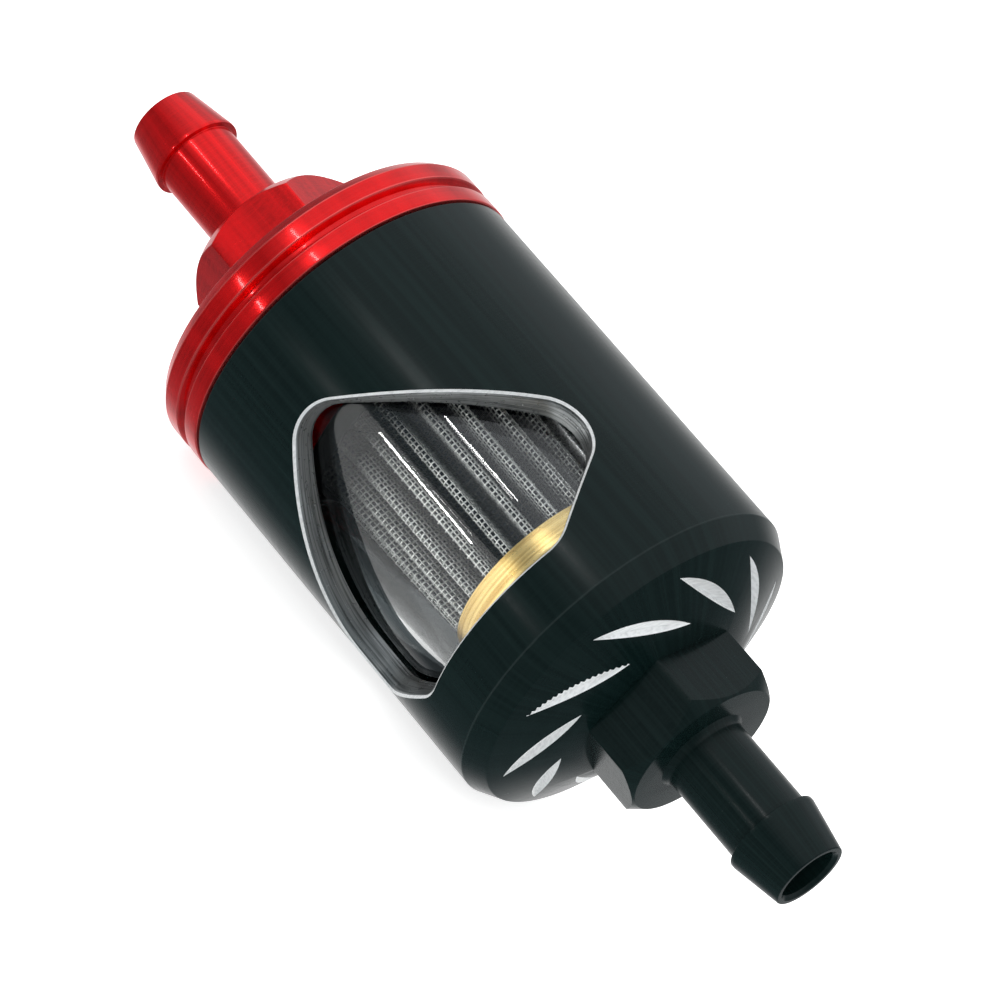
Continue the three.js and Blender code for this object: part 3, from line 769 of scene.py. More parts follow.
@dataclass(frozen=True)
class Palette:
    """Every finish of the filter, built."""

    black: bpy.types.Material
    red: bpy.types.Material
    bare: bpy.types.Material
    wall: bpy.types.Material
    glass: bpy.types.Material
    rubber: bpy.types.Material
    plastic: bpy.types.Material
    brass: bpy.types.Material
    steel: bpy.types.Material
    wire: bpy.types.Material
    cloth: bpy.types.Material

    @classmethod
    def build(cls) -> "Palette":
        """Builds all finishes over one set of shared effects."""
        effects = SurfaceEffects.build()
        black = AnodisedFinish(
            "black_anodised",
            deep=(0.0022, 0.0068, 0.0066),
            light=(0.0042, 0.0115, 0.011),
            rubbed_and_highlight=(0.05, 0.065, 0.065),
            metallic=0.0,
            roughness=0.2,
            line_depth=0.0006,
            lines_per_mm=7.0,
            streaks=26.0,
            coat=0.0,
            mirror=0.15,
            wear_and_highlight=0.18,
            edge_stations=(0.05, 33.8),
            edge_half_width=0.1,
        )
        red = AnodisedFinish(
            "red_anodised",
            deep=(0.6, 0.001, 0.002),
            light=(0.92, 0.004, 0.006),
            rubbed_and_highlight=(0.95, 0.16, 0.15),
            metallic=0.8,
            roughness=0.2,
            line_depth=0.0008,
            lines_per_mm=6.0,
            streaks=6.0,
            coat=0.3,
            mirror=0.5,
            wear_and_highlight=0.5,
            edge_stations=(-4.2, -2.75, -1.65, -0.2),
            edge_half_width=0.1,
        )
        bare = BareMetalFinish(
            "bare_aluminium",
            deep=(0.78, 0.79, 0.79),
            light=(0.95, 0.96, 0.96),
            metallic=0.5,
            roughness=0.35,
            line_depth=0.0008,
            lines_per_mm=5.0,
            grain_size=0.2,
            grain_depth=0.0004,
            speck=0.1,
        )
        wall = BareMetalFinish(
            "window_wall",
            deep=(0.1, 0.105, 0.105),
            light=(0.34, 0.35, 0.35),
            metallic=0.85,
            roughness=0.3,
            line_depth=0.001,
            lines_per_mm=6.0,
            station_share=0.03,
            grain_size=0.4,
            grain_depth=0.0003,
            speck=0.0,
        )
        brass = BareMetalFinish(
            "pressed_brass",
            deep=(0.62, 0.38, 0.1),
            light=(0.95, 0.7, 0.28),
            metallic=0.85,
            roughness=0.3,
            line_depth=0.002,
            lines_per_mm=4.0,
            grain_size=0.12,
            grain_depth=0.002,
        )
        steel = BareMetalFinish(
            "bright_steel",
            deep=(0.4, 0.4, 0.41),
            light=(0.75, 0.75, 0.76),
            metallic=0.9,
            roughness=0.3,
            line_depth=0.002,
            lines_per_mm=6.0,
            grain_size=0.1,
            grain_depth=0.001,
        )
        wire = BareMetalFinish(
            "wire_steel",
            deep=(0.55, 0.56, 0.54),
            light=(0.92, 0.92, 0.9),
            metallic=0.6,
            roughness=0.3,
            line_depth=0.001,
            lines_per_mm=3.0,
            grain_size=0.1,
            grain_depth=0.001,
            speck=0.2,
            # Painted shade on the wires, up to 93% towards near black, in the folds and towards the outlet
            # end.
            painted_shade_strength=0.93,
        )
        # The cloth's gaps and wires are painted near black, far darker than its steel: painted shade for the
        # folds that it lines.
        cloth = WovenFinish(
            "fine_cloth",
            gap=(0.004, 0.006, 0.005),
            wire=(0.075, 0.085, 0.075),
            tint=(0.06, 0.06, 0.1),
            wire_pitch=0.22,
        )
        return cls(
            black=black.build(effects),
            red=red.build(effects),
            bare=bare.build(effects),
            wall=wall.build(effects),
            glass=GlassFinish("clear_glass", (0.97, 0.985, 0.98)).build(effects),
            rubber=RubberFinish("black_rubber", (0.012, 0.012, 0.012), (0.035, 0.035, 0.034)).build(effects),
            plastic=RubberFinish("black_plastic", (0.008, 0.009, 0.009), (0.02, 0.021, 0.021)).build(effects),
            brass=brass.build(effects),
            steel=steel.build(effects),
            wire=wire.build(effects),
            cloth=cloth.build(effects),
        )


# ---------------------------------------------------------------- geometry node trees


def run_tree(piece: bpy.types.Object, tree: bpy.types.NodeTree, **inputs: object) -> bpy.types.Object:
    """Runs a geometry tree over a piece and keeps the result as its mesh.

    Args:
        piece: The object whose mesh the tree starts from.
        tree: The geometry tree.
        **inputs: Values for its named inputs, with _ for spaces.

    Returns:
        The piece, with a plain mesh.
    """
    modifier = piece.modifiers.new("shape", "NODES")
    modifier.node_group = tree
    for item in tree.interface.items_tree:
        key = item.name.replace(" ", "_")
        if item.in_out == "INPUT" and key in inputs:
            modifier[item.identifier] = inputs[key]
    return baked(piece)


@dataclass(frozen=True)
class WireTrees:
    """The geometry trees that make the filter's wires."""

    along_path: bpy.types.NodeTree
    woven_rows: bpy.types.NodeTree
    bars_on_path: bpy.types.NodeTree
    punches: bpy.types.NodeTree

    GEOMETRY = SocketSpec("Geometry", "NodeSocketGeometry")
    MATERIAL = SocketSpec("Material", "NodeSocketMaterial")

    @classmethod
    def build(cls) -> "WireTrees":
        """Builds each tree once."""
        return cls(cls._along_path(), cls._woven_rows(), cls._bars_on_path(), cls._punches())

    @staticmethod
    def _finish(n: Nodes, start: bpy.types.Node, end: bpy.types.Node, geometry: object) -> None:
        """Ends a tree: real copies, smooth faces and the material."""
        real = n.add("GeometryNodeRealizeInstances", {0: geometry}).outputs[0]
        smooth = n.add("GeometryNodeSetShadeSmooth", {"Geometry": real}).outputs[0]
        inputs = {"Geometry": smooth, "Material": start.outputs["Material"]}
        done = n.add("GeometryNodeSetMaterial", inputs).outputs[0]
        n.tree.links.new(done, end.inputs[0])

    @staticmethod
    def _tube(n: Nodes, curve: object, radius: object, sides: object) -> bpy.types.NodeSocket:
        """A round wire along a curve."""
        size = {"Resolution": sides, "Radius": radius}
        ring = n.add("GeometryNodeCurvePrimitiveCircle", size, mode="RADIUS")
        inputs = {"Curve": curve, "Profile Curve": ring.outputs[0], "Fill Caps": True}
        return n.add("GeometryNodeCurveToMesh", inputs).outputs[0]

    @classmethod
    def _along_path(cls) -> bpy.types.NodeTree:
        """One wire along a path of edges."""
        ins = [cls.GEOMETRY, SocketSpec("Radius"), SocketSpec("Sides", "NodeSocketInt"), cls.MATERIAL]
        tree, n, start, end = new_group("wire_along_path", "GeometryNodeTree", ins, [cls.GEOMETRY])
        curve = n.add("GeometryNodeMeshToCurve", {0: start.outputs[0]}).outputs[0]
        tube = cls._tube(n, curve, start.outputs["Radius"], start.outputs["Sides"])
        cls._finish(n, start, end, tube)
        return tree

    @classmethod
    def _woven_rows(cls) -> bpy.types.NodeTree:
        """Rows of one wire loop along X, each waving over and under what it crosses."""
        ins = [
            cls.GEOMETRY,
            SocketSpec("Rows", "NodeSocketInt"),
            SocketSpec("Row pitch"),
            SocketSpec("Steps", "NodeSocketInt"),
            SocketSpec("Wave"),
            SocketSpec("Radius"),
            SocketSpec("Sides", "NodeSocketInt"),
            cls.MATERIAL,
        ]
        tree, n, start, end = new_group("woven_rows", "GeometryNodeTree", ins, [cls.GEOMETRY])
        value = start.outputs
        curve = n.add("GeometryNodeMeshToCurve", {0: value[0]}).outputs[0]
        even = n.add("GeometryNodeResampleCurve", {"Curve": curve, "Count": value["Steps"]}).outputs[0]
        step = n.add("GeometryNodeCaptureAttribute", {"Geometry": even})
        step.capture_items.new("INT", "step")
        n.tree.links.new(n.add("GeometryNodeInputIndex").outputs[0], step.inputs[1])
        offset = n.point(value["Row pitch"], 0.0, 0.0)
        line = n.add("GeometryNodeMeshLine", {"Count": value["Rows"], "Offset": offset}).outputs[0]
        row = n.add("GeometryNodeCaptureAttribute", {"Geometry": line})
        row.capture_items.new("INT", "row")
        n.tree.links.new(n.add("GeometryNodeInputIndex").outputs[0], row.inputs[1])
        inputs = {"Points": row.outputs[0], "Instance": step.outputs[0]}
        copies = n.add("GeometryNodeInstanceOnPoints", inputs)
        real = n.add("GeometryNodeRealizeInstances", {0: copies.outputs[0]}).outputs[0]
        tangent = n.add("GeometryNodeInputTangent").outputs[0]
        along_x = {0: tangent, 1: (1.0, 0.0, 0.0)}
        side = n.add("ShaderNodeVectorMath", along_x, operation="CROSS_PRODUCT").outputs[0]
        quarter = n.math("MULTIPLY", step.outputs[1], math.pi / 2)
        phase = n.math("MULTIPLY_ADD", row.outputs[1], math.pi, quarter)
        lift = n.math("MULTIPLY", n.math("SINE", phase), value["Wave"])
        move = n.add("ShaderNodeVectorMath", {0: side, "Scale": lift}, operation="SCALE").outputs[0]
        waved = n.add("GeometryNodeSetPosition", {"Geometry": real, "Offset": move}).outputs[0]
        cls._finish(n, start, end, cls._tube(n, waved, value["Radius"], value["Sides"]))
        return tree

    @classmethod
    def _bars_on_path(cls) -> bpy.types.NodeTree:
        """Straight wires along X, spaced evenly on a path of edges."""
        ins = [
            cls.GEOMETRY,
            SocketSpec("Bars", "NodeSocketInt"),
            SocketSpec("Length"),
            SocketSpec("Radius"),
            SocketSpec("Sides", "NodeSocketInt"),
            cls.MATERIAL,
        ]
        tree, n, start, end = new_group("bars_on_path", "GeometryNodeTree", ins, [cls.GEOMETRY])
        value = start.outputs
        curve = n.add("GeometryNodeMeshToCurve", {0: value[0]}).outputs[0]
        even = n.add("GeometryNodeResampleCurve", {"Curve": curve, "Count": value["Bars"]}).outputs[0]
        points = n.add("GeometryNodeCurveToPoints", {"Curve": even}, mode="EVALUATED").outputs[0]
        line = n.add("GeometryNodeCurvePrimitiveLine", {"End": n.point(value["Length"], 0.0, 0.0)}).outputs[0]
        bar = cls._tube(n, line, value["Radius"], value["Sides"])
        copies = n.add("GeometryNodeInstanceOnPoints", {"Points": points, "Instance": bar})
        cls._finish(n, start, end, copies.outputs[0])
        return tree

    @classmethod
    def _punches(cls) -> bpy.types.NodeTree:
        """Staggered rows of one punch, turned round the X axis."""
        ins = [
            cls.GEOMETRY,
            SocketSpec("Rows", "NodeSocketInt"),
            SocketSpec("Round", "NodeSocketInt"),
            SocketSpec("Row pitch"),
            cls.MATERIAL,
        ]
        tree, n, start, end = new_group("punches", "GeometryNodeTree", ins, [cls.GEOMETRY])
        value = start.outputs
        total = n.math("MULTIPLY", value["Rows"], value["Round"])
        line = n.add("GeometryNodeMeshLine", {"Count": total, "Offset": (0.0, 0.0, 0.0)}).outputs[0]
        index = n.add("GeometryNodeInputIndex").outputs[0]
        row = n.math("FLOOR", n.math("DIVIDE", n.math("ADD", index, 0.5), value["Round"]))
        place = n.point(n.math("MULTIPLY", row, value["Row pitch"]), 0.0, 0.0)
        placed = n.add("GeometryNodeSetPosition", {"Geometry": line, "Position": place}).outputs[0]
        turns = n.math("DIVIDE", n.math("MULTIPLY_ADD", row, 0.5, index), value["Round"])
        spin = n.point(n.math("MULTIPLY", turns, 2 * math.pi), 0.0, 0.0)
        inputs = {"Points": placed, "Instance": value[0], "Rotation": spin}
        copies = n.add("GeometryNodeInstanceOnPoints", inputs)
        cls._finish(n, start, end, copies.outputs[0])
        return tree


def path_piece(name: str, points: np.ndarray, closed: bool) -> bpy.types.Object:
    """A path of edges through points in metres, as an object."""
    count = len(points)
    edges = [(i, i + 1) for i in range(count - 1)] + ([(count - 1, 0)] if closed else [])
    mesh = bpy.data.meshes.new(name)
    mesh.from_pydata(points.tolist(), edges, [])
    piece = bpy.data.objects.new(name, mesh)
    bpy.context.scene.collection.objects.link(piece)
    return piece


# ---------------------------------------------------------------- the two machined ends


@dataclass(frozen=True)
class Barb:
    """A hose barb on its hexagon, alike at both ends of the filter."""

    hex_face: float
    shoulder: float
    tip: float
    outward: int
    corner_angle: float
    across_flats: float = 13.0
    face_radius: float = 6.35
    chamfer_length: float = 1.1
    core_radius: float = 5.35
    corner_rounding: float = 0.14
    neck_radius: float = 3.38
    fillet: float = 0.4
    shoulder_radius: float = 3.84
    shoulder_land: float = 0.3
    tip_radius: float = 3.05
    passage_radius: float = 2.35
    mouth_rise: float = 0.4
    mouth_length: float = 0.3

    def outline(self) -> list[Corner]:
        """The corners of the barb's outside, from inside its hexagon out to the axis at its tip."""
        out = self.outward
        return [
            (self.hex_face - out * OVERRUN, self.core_radius, 0.0),
            (self.hex_face - out * OVERRUN, self.neck_radius + self.fillet, 0.0),
            (self.hex_face, self.neck_radius + self.fillet, 0.0),
            (self.hex_face + out * self.fillet, self.neck_radius, 0.5),
            (self.shoulder, self.neck_radius, 0.08),
            (self.shoulder, self.shoulder_radius, 0.06),
            (self.shoulder + out * self.shoulder_land, self.shoulder_radius, 0.12),
            (self.tip, self.tip_radius, 0.12),
            (self.tip, 0.0, 0.0),
        ]

    def mouth(self) -> list[Corner]:
        """The corners of the passage's mouth, from the passage out to the axis past the tip."""
        past = self.outward * (self.mouth_rise - self.mouth_length)
        return [
            (self.tip - self.outward * self.mouth_length, self.passage_radius, 0.1),
            (self.tip + past, self.passage_radius + self.mouth_rise, 0.0),
            (self.tip + past, 0.0, 0.0),
        ]

    def hexagon(self, root: float, materials: Sequence[bpy.types.Material]) -> bpy.types.Object:
        """The hexagon, chamfered all round its outer face.

        Args:
            root: The station that it starts from, inside the body.
            materials: The body's materials.

        Returns:
            The solid, its flats MILLED and its chamfer TURNED.
        """
        corner_radius = self.across_flats / math.sqrt(3)
        turns = np.radians(self.corner_angle + 60.0 * np.arange(6))
        corners = [
            (-corner_radius * math.sin(t), corner_radius * math.cos(t), self.corner_rounding) for t in turns
        ]
        section = rounded(corners, closed=True)
        loops = [section_at(section, station) for station in (root, self.hex_face)]
        bar = mesh_piece("hexagon_bar", *drawn(loops), materials, Skin.MILLED)
        slope = (corner_radius - self.face_radius) / self.chamfer_length
        reach = abs(self.hex_face - root) + OVERRUN
        back = self.hex_face - self.outward * reach
        cone = [
            (self.hex_face, 0.0, 0.0),
            (self.hex_face, self.face_radius, 0.12),
            (back, self.face_radius + slope * reach, 0.0),
            (back, 0.0, 0.0),
        ]
        chamfer = mesh_piece("hexagon_chamfer", *turned(rounded(cone)), materials, Skin.TURNED)
        return carve(bar, chamfer, Cut.KEEP)


@dataclass(frozen=True)
class Thread:
    """The screw thread between the cap's spigot and the housing's bore."""

    pitch: float = 1.25
    start: float = 2.3
    turns: float = 2.5
    foot_radius: float = 12.55
    crest_radius: float = 13.5
    foot_width: float = 0.9
    crest_width: float = 0.25
    steps_per_turn: int = 96

    def ridge(
        self,
        materials: Sequence[bpy.types.Material],
        run_in: float = 0.0,
        run_out: float = 0.0,
        flank_gap: float = 0.0,
        crest_gap: float = 0.0,
    ) -> bpy.types.Object:
        """The ridge, or with its gaps the groove that the ridge runs in.

        Args:
            materials: The body's materials.
            run_in: Extra turns before the start.
            run_out: Extra turns after the end.
            flank_gap: Room beside each flank.
            crest_gap: Room over the crest.

        Returns:
            The solid.
        """
        first, last = -run_in, self.turns + run_out
        turns = np.linspace(first, last, round((last - first) * self.steps_per_turn) + 1)
        crest = self.crest_radius + crest_gap
        half_foot, half_crest = self.foot_width / 2 + flank_gap, self.crest_width / 2 + flank_gap
        section = [
            (-half_foot, self.foot_radius),
            (-half_crest, crest),
            (half_crest, crest),
            (half_foot, self.foot_radius),
        ]
        loops = []
        for turn in turns:
            station = self.start + turn * self.pitch
            angle = 360.0 * station / self.pitch
            across = np.array([s for s, _ in section])
            loops.append(polar(station + across, np.array([r for _, r in section]), np.full(4, angle)))
        return mesh_piece("thread", *drawn(loops), materials, Skin.MILLED)


@dataclass(frozen=True)
class Window:
    """A five-cornered opening on the barrel with a bevelled rim."""

    centres: tuple[float, ...] = (90.0, 270.0)
    apex: tuple[float, float] = (0.0, 6.9)
    side: tuple[float, float] = (71.2, 22.2)
    foot: tuple[float, float] = (32.5, 29.3)
    corner_radius: float = 3.6
    bevel: float = 0.22
    step: float = 0.4
    barrel_radius: float = 15.0

    def outline(self, outset: float) -> np.ndarray:
        """The opening's outline, widened by a distance.

        Args:
            outset: The distance that it is widened by.

        Returns:
            Points as arc length across and station, always the same number of them.
        """
        arc = math.radians(1) * self.barrel_radius
        right = [self.apex, self.side, self.foot]
        corners = [np.array([angle * arc, station]) for angle, station in right]
        corners += [np.array([-angle * arc, station]) for angle, station in right[:0:-1]]
        count = len(corners)
        arcs = []
        for i, here in enumerate(corners):
            before, after = corners[i - 1] - here, corners[(i + 1) % count] - here
            before, after = before / np.linalg.norm(before), after / np.linalg.norm(after)
            half = math.acos(float(before @ after)) / 2
            middle = (before + after) / np.linalg.norm(before + after)
            centre = here + middle * (self.corner_radius / math.sin(half))
            outward = [np.array([d[1], -d[0]]) for d in (before, after)]
            outward = [o if o @ middle < 0 else -o for o in outward]
            first, last = (math.atan2(o[1], o[0]) for o in outward)
            sweep = (last - first + math.pi) % (2 * math.pi) - math.pi
            turns = first + sweep * np.linspace(0, 1, 17)
            radius = self.corner_radius + outset
            arcs.append(centre + radius * np.stack([np.cos(turns), np.sin(turns)], axis=1))
        points = []
        for i, bend in enumerate(arcs):
            points.append(bend)
            a, b = bend[-1], arcs[(i + 1) % count][0]
            base = np.linalg.norm(corners[(i + 1) % count] - corners[i])
            pieces = max(2, round(base / self.step))
            shares = np.linspace(0, 1, pieces + 1)[1:-1, None]
            points.append(a + (b - a) * shares)
        return np.vstack(points)

    def cutter(self, centre: float, materials: Sequence[bpy.types.Material]) -> bpy.types.Object:
        """The solid that cuts the opening radially and bevels its rim.

        Args:
            centre: The angle that the opening faces.
            materials: The housing's materials.

        Returns:
            The solid, with WALL faces below its BARE bevel.
        """
        rim = self.barrel_radius
        levels = [(12.4, 0.0), (rim - self.bevel - 0.08, 0.0), (rim - self.bevel + 0.04, 0.05)]
        levels += [(rim + 0.04, self.bevel + 0.04), (rim + 2.0, self.bevel + 0.04)]
        loops = []
        for radius, outset in levels:
            flat = self.outline(outset)
            loops.append(polar(flat[:, 1], radius, centre + np.degrees(flat[:, 0] / rim)))
        count = len(loops[0])
        points, faces = drawn(loops)
        faces = faces[:-2]
        middle = (self.apex[1] + self.foot[1]) / 2
        hubs = polar(np.full(2, middle), np.array([12.4, 42.0]), np.full(2, centre))
        first, last = len(points), (len(loops) - 1) * count
        for i in range(count):
            j = (i + 1) % count
            faces.append([first, j, i])
            faces.append([first + 1, last + i, last + j])
        tool = mesh_piece("window_cutter", np.vstack([points, hubs]), faces, materials, Skin.BARE)
        for polygon in tool.data.polygons[:2 * count]:
            polygon.material_index = Skin.WALL.value
        return tool


@dataclass(frozen=True)
class NoseCuts:
    """Lens-shaped cuts round the nose, made by the edge of a tilted round cutter."""

    count: int = 10
    first_angle: float = 51.0
    radius: float = 10.3
    lean: float = 58.6
    depth: float = 0.5
    tilt: float = 30.0
    cutter_radius: float = 36.0
    cutter_thickness: float = 3.0
    ribbed_cut: int = 1
    rib_pitch: float = 0.46
    rib_depth: float = 0.09
    sweep: float = 0.24
    edge_station: float = 35.6
    edge_radius: float = 14.0
    fall: float = 2.9 / 6.6

    def cutter(self, index: int, materials: Sequence[bpy.types.Material]) -> bpy.types.Object:
        """The cutter of one cut.

        Args:
            index: Which cut it makes.
            materials: The housing's materials.

        Returns:
            The solid, with BARE faces.
        """
        angle = self.first_angle + 360.0 / self.count * index
        station = self.edge_station + (self.edge_radius - self.radius) * self.fall
        centre = Vector(polar(station, self.radius, angle)) / MM
        radial = (Vector(polar(ORIGIN_STATION, 1.0, angle)) / MM).normalized()
        tangent = (Vector(polar(ORIGIN_STATION, 1.0, angle + 90)) / MM).normalized()
        downhill = (radial - Vector((self.fall, 0, 0))).normalized()
        normal = -tangent.cross(downhill)
        lean, tilt = math.radians(self.lean), math.radians(self.tilt)
        inward = -math.sin(lean) * downhill + math.cos(lean) * tangent
        axis = math.sin(tilt) * normal - math.cos(tilt) * inward
        upright = math.cos(tilt) * normal + math.sin(tilt) * inward
        along = upright.cross(axis)
        middle = centre - self.depth * normal + self.cutter_radius * upright
        is_ribbed = index == self.ribbed_cut
        steps = 320 if is_ribbed else 96
        loops = []
        turns = np.linspace(-self.sweep, self.sweep, steps + 1)
        reach = np.full(len(turns), self.cutter_radius)
        if is_ribbed:
            wave = np.cos(2 * np.pi * turns * self.cutter_radius / self.rib_pitch)
            reach = reach - self.rib_depth * (0.5 + 0.5 * wave) ** 0.7
        for offset in (0.0, self.cutter_thickness):
            hub = middle + axis * offset
            ring = [
                hub - upright * (r * math.cos(t)) + along * (r * math.sin(t)) for r, t in zip(reach, turns)
            ]
            ring += [ring[-1] + upright * 3.0, ring[0] + upright * 3.0]
            loops.append(np.array([list(p) for p in ring]) * MM)
        return mesh_piece("nose_cutter", *drawn(loops), materials, Skin.BARE)


@dataclass(frozen=True)
class Housing:
    """The black housing with its two windows, bore, thread, nose cuts and inlet barb."""

    palette: Palette
    barb: Barb = Barb(hex_face=43.55, shoulder=51.75, tip=56.25, outward=1, corner_angle=51.7)
    thread: Thread = Thread()
    window: Window = Window()
    cuts: NoseCuts = NoseCuts()
    barrel_radius: float = 15.0
    barrel_end: float = 33.8
    nose_edge: tuple[float, float] = (35.6, 14.0)
    nose_root: tuple[float, float] = (38.5, 7.4)

    def build(self) -> bpy.types.Object:
        """Builds and settles the housing."""
        materials = [self.palette.black, self.palette.bare, self.palette.wall, self.palette.black]
        barrel = [
            (0.0, 0.0, 0.0),
            (0.0, self.barrel_radius, 0.15),
            (self.barrel_end, self.barrel_radius, 0.14),
            (*self.nose_edge, 0.14),
            (*self.nose_root, 0.0),
            (self.nose_root[0], 0.0, 0.0),
        ]
        root = self.nose_root[0] - OVERRUN
        barb = [
            (root, 0.0, 0.0),
            (root, self.barb.core_radius, 0.0),
            *self.barb.outline(),
        ]
        inside = [
            (-OVERRUN, 0.0, 0.0),
            (-OVERRUN, 14.0, 0.0),
            (1.8, 14.0, 0.05),
            (2.2, 13.0, 0.05),
            (31.6, 13.0, 0.2),
            (31.6, 11.6, 0.1),
            (34.0, 11.6, 0.2),
            (34.0, 3.85, 0.1),
            (35.0, 2.35, 0.1),
            *self.barb.mouth(),
        ]
        body = mesh_piece("filter_housing", *turned(rounded(barrel)), materials, Skin.TURNED)
        for index in range(self.cuts.count):
            carve(body, self.cuts.cutter(index, materials), Cut.REMOVE)
        carve(body, self.barb.hexagon(root, materials), Cut.JOIN)
        carve(body, mesh_piece("inlet_barb", *turned(rounded(barb)), materials, Skin.TURNED), Cut.JOIN)
        carve(body, mesh_piece("bore", *turned(rounded(inside)), materials, Skin.TURNED), Cut.REMOVE)
        groove = self.thread.ridge(materials, run_in=1.0, run_out=0.4, flank_gap=0.12, crest_gap=0.2)
        carve(body, groove, Cut.REMOVE)
        for centre in self.window.centres:
            carve(body, self.window.cutter(centre, materials), Cut.REMOVE)
        dress_edges(body)
        return settle(body, Body.HOUSING, Slot.BLACK, "housing")


@dataclass(frozen=True)
class EndCap:
    """The red screw-on cap with its flange, spigot, thread, nozzle and outlet barb."""

    palette: Palette
    barb: Barb = Barb(hex_face=-12.5, shoulder=-21.45, tip=-26.0, outward=-1, corner_angle=33.3)
    thread: Thread = Thread()
    flange_back: float = -5.0
    spigot_radius: float = 12.85
    nozzle_radius: float = 3.6
    nozzle_end: float = 12.6

    def build(self) -> bpy.types.Object:
        """Builds and settles the cap."""
        materials = [self.palette.red] * len(Skin)
        outside = [
            *self.barb.outline()[::-1],
            (self.flange_back, self.barb.core_radius, 0.0),
            (self.flange_back, 14.55, 0.1),
            (-4.2, 15.1, 0.12),
            (-2.75, 15.1, 0.07),
            (-2.4, 14.5, 0.1),
            (-2.0, 14.5, 0.1),
            (-1.65, 15.1, 0.07),
            (-0.2, 15.1, 0.14),
            (-0.2, self.spigot_radius, 0.05),
            (0.35, self.spigot_radius, 0.05),
            (0.35, 12.3, 0.1),
            (1.65, 12.3, 0.1),
            (1.65, self.spigot_radius, 0.05),
            (5.8, self.spigot_radius, 0.3),
            (5.8, 11.0, 0.1),
            (-1.2, 11.0, 0.4),
            (-1.2, self.nozzle_radius, 0.4),
            (self.nozzle_end, self.nozzle_radius, 0.3),
            (self.nozzle_end, 0.0, 0.0),
        ]
        passage = [
            *self.barb.mouth()[::-1],
            (self.nozzle_end + OVERRUN, self.barb.passage_radius, 0.0),
            (self.nozzle_end + OVERRUN, 0.0, 0.0),
        ]
        body = mesh_piece("outlet_cap", *turned(rounded(outside)), materials, Skin.TURNED)
        carve(body, self.barb.hexagon(self.flange_back + OVERRUN, materials), Cut.JOIN)
        carve(body, self.thread.ridge(materials), Cut.JOIN)
        carve(body, mesh_piece("passage", *turned(rounded(passage)), materials, Skin.TURNED), Cut.REMOVE)
        dress_edges(body)
        return settle(body, Body.CAP, Slot.RED, "end_cap")


# ---------------------------------------------------------------- glass, seals and element


@dataclass(frozen=True)
class GlassAndSeals:
    """The glass tube, the rubber ring at each of its ends, and the cap's O-ring."""

    palette: Palette
    outer: float = 12.7
    inner: float = 11.2
    start: float = 7.2
    end: float = 30.2

    def ring(
        self, name: str, start: float, end: float, inner: float, material: bpy.types.Material, fillet: float
    ) -> bpy.types.Object:
        """A ring between two stations, its edges rounded."""
        corners = [
            (start, inner, fillet),
            (start, self.outer, fillet),
            (end, self.outer, fillet),
            (end, inner, fillet),
        ]
        return mesh_piece(name, *turned(rounded(corners, closed=True)), [material])

    def build(self) -> None:
        """Builds and settles the four rings."""
        glass = self.ring("glass_tube", self.start, self.end, self.inner, self.palette.glass, 0.15)
        settle(glass, Body.HOUSING, Slot.GLASS, "sight_glass")
        rubber = self.palette.rubber
        near = self.ring("outlet_seal_ring", 6.0, 7.0, self.inner, rubber, 0.25)
        settle(near, Body.HOUSING, Slot.RUBBER, "outlet_glass_seal")
        far = self.ring("inlet_seal_ring", 30.4, 31.4, self.inner + 0.6, rubber, 0.2)
        settle(far, Body.HOUSING, Slot.RUBBER, "inlet_glass_seal")
        turns = np.radians(np.arange(0, 360, 15))
        section = np.stack([1.0 + 0.6 * np.cos(turns), 13.15 + 0.6 * np.sin(turns)], axis=1)
        o_ring = mesh_piece("cap_seal_ring", *turned(section), [rubber])
        settle(o_ring, Body.CAP, Slot.RUBBER, "cap_o_ring")


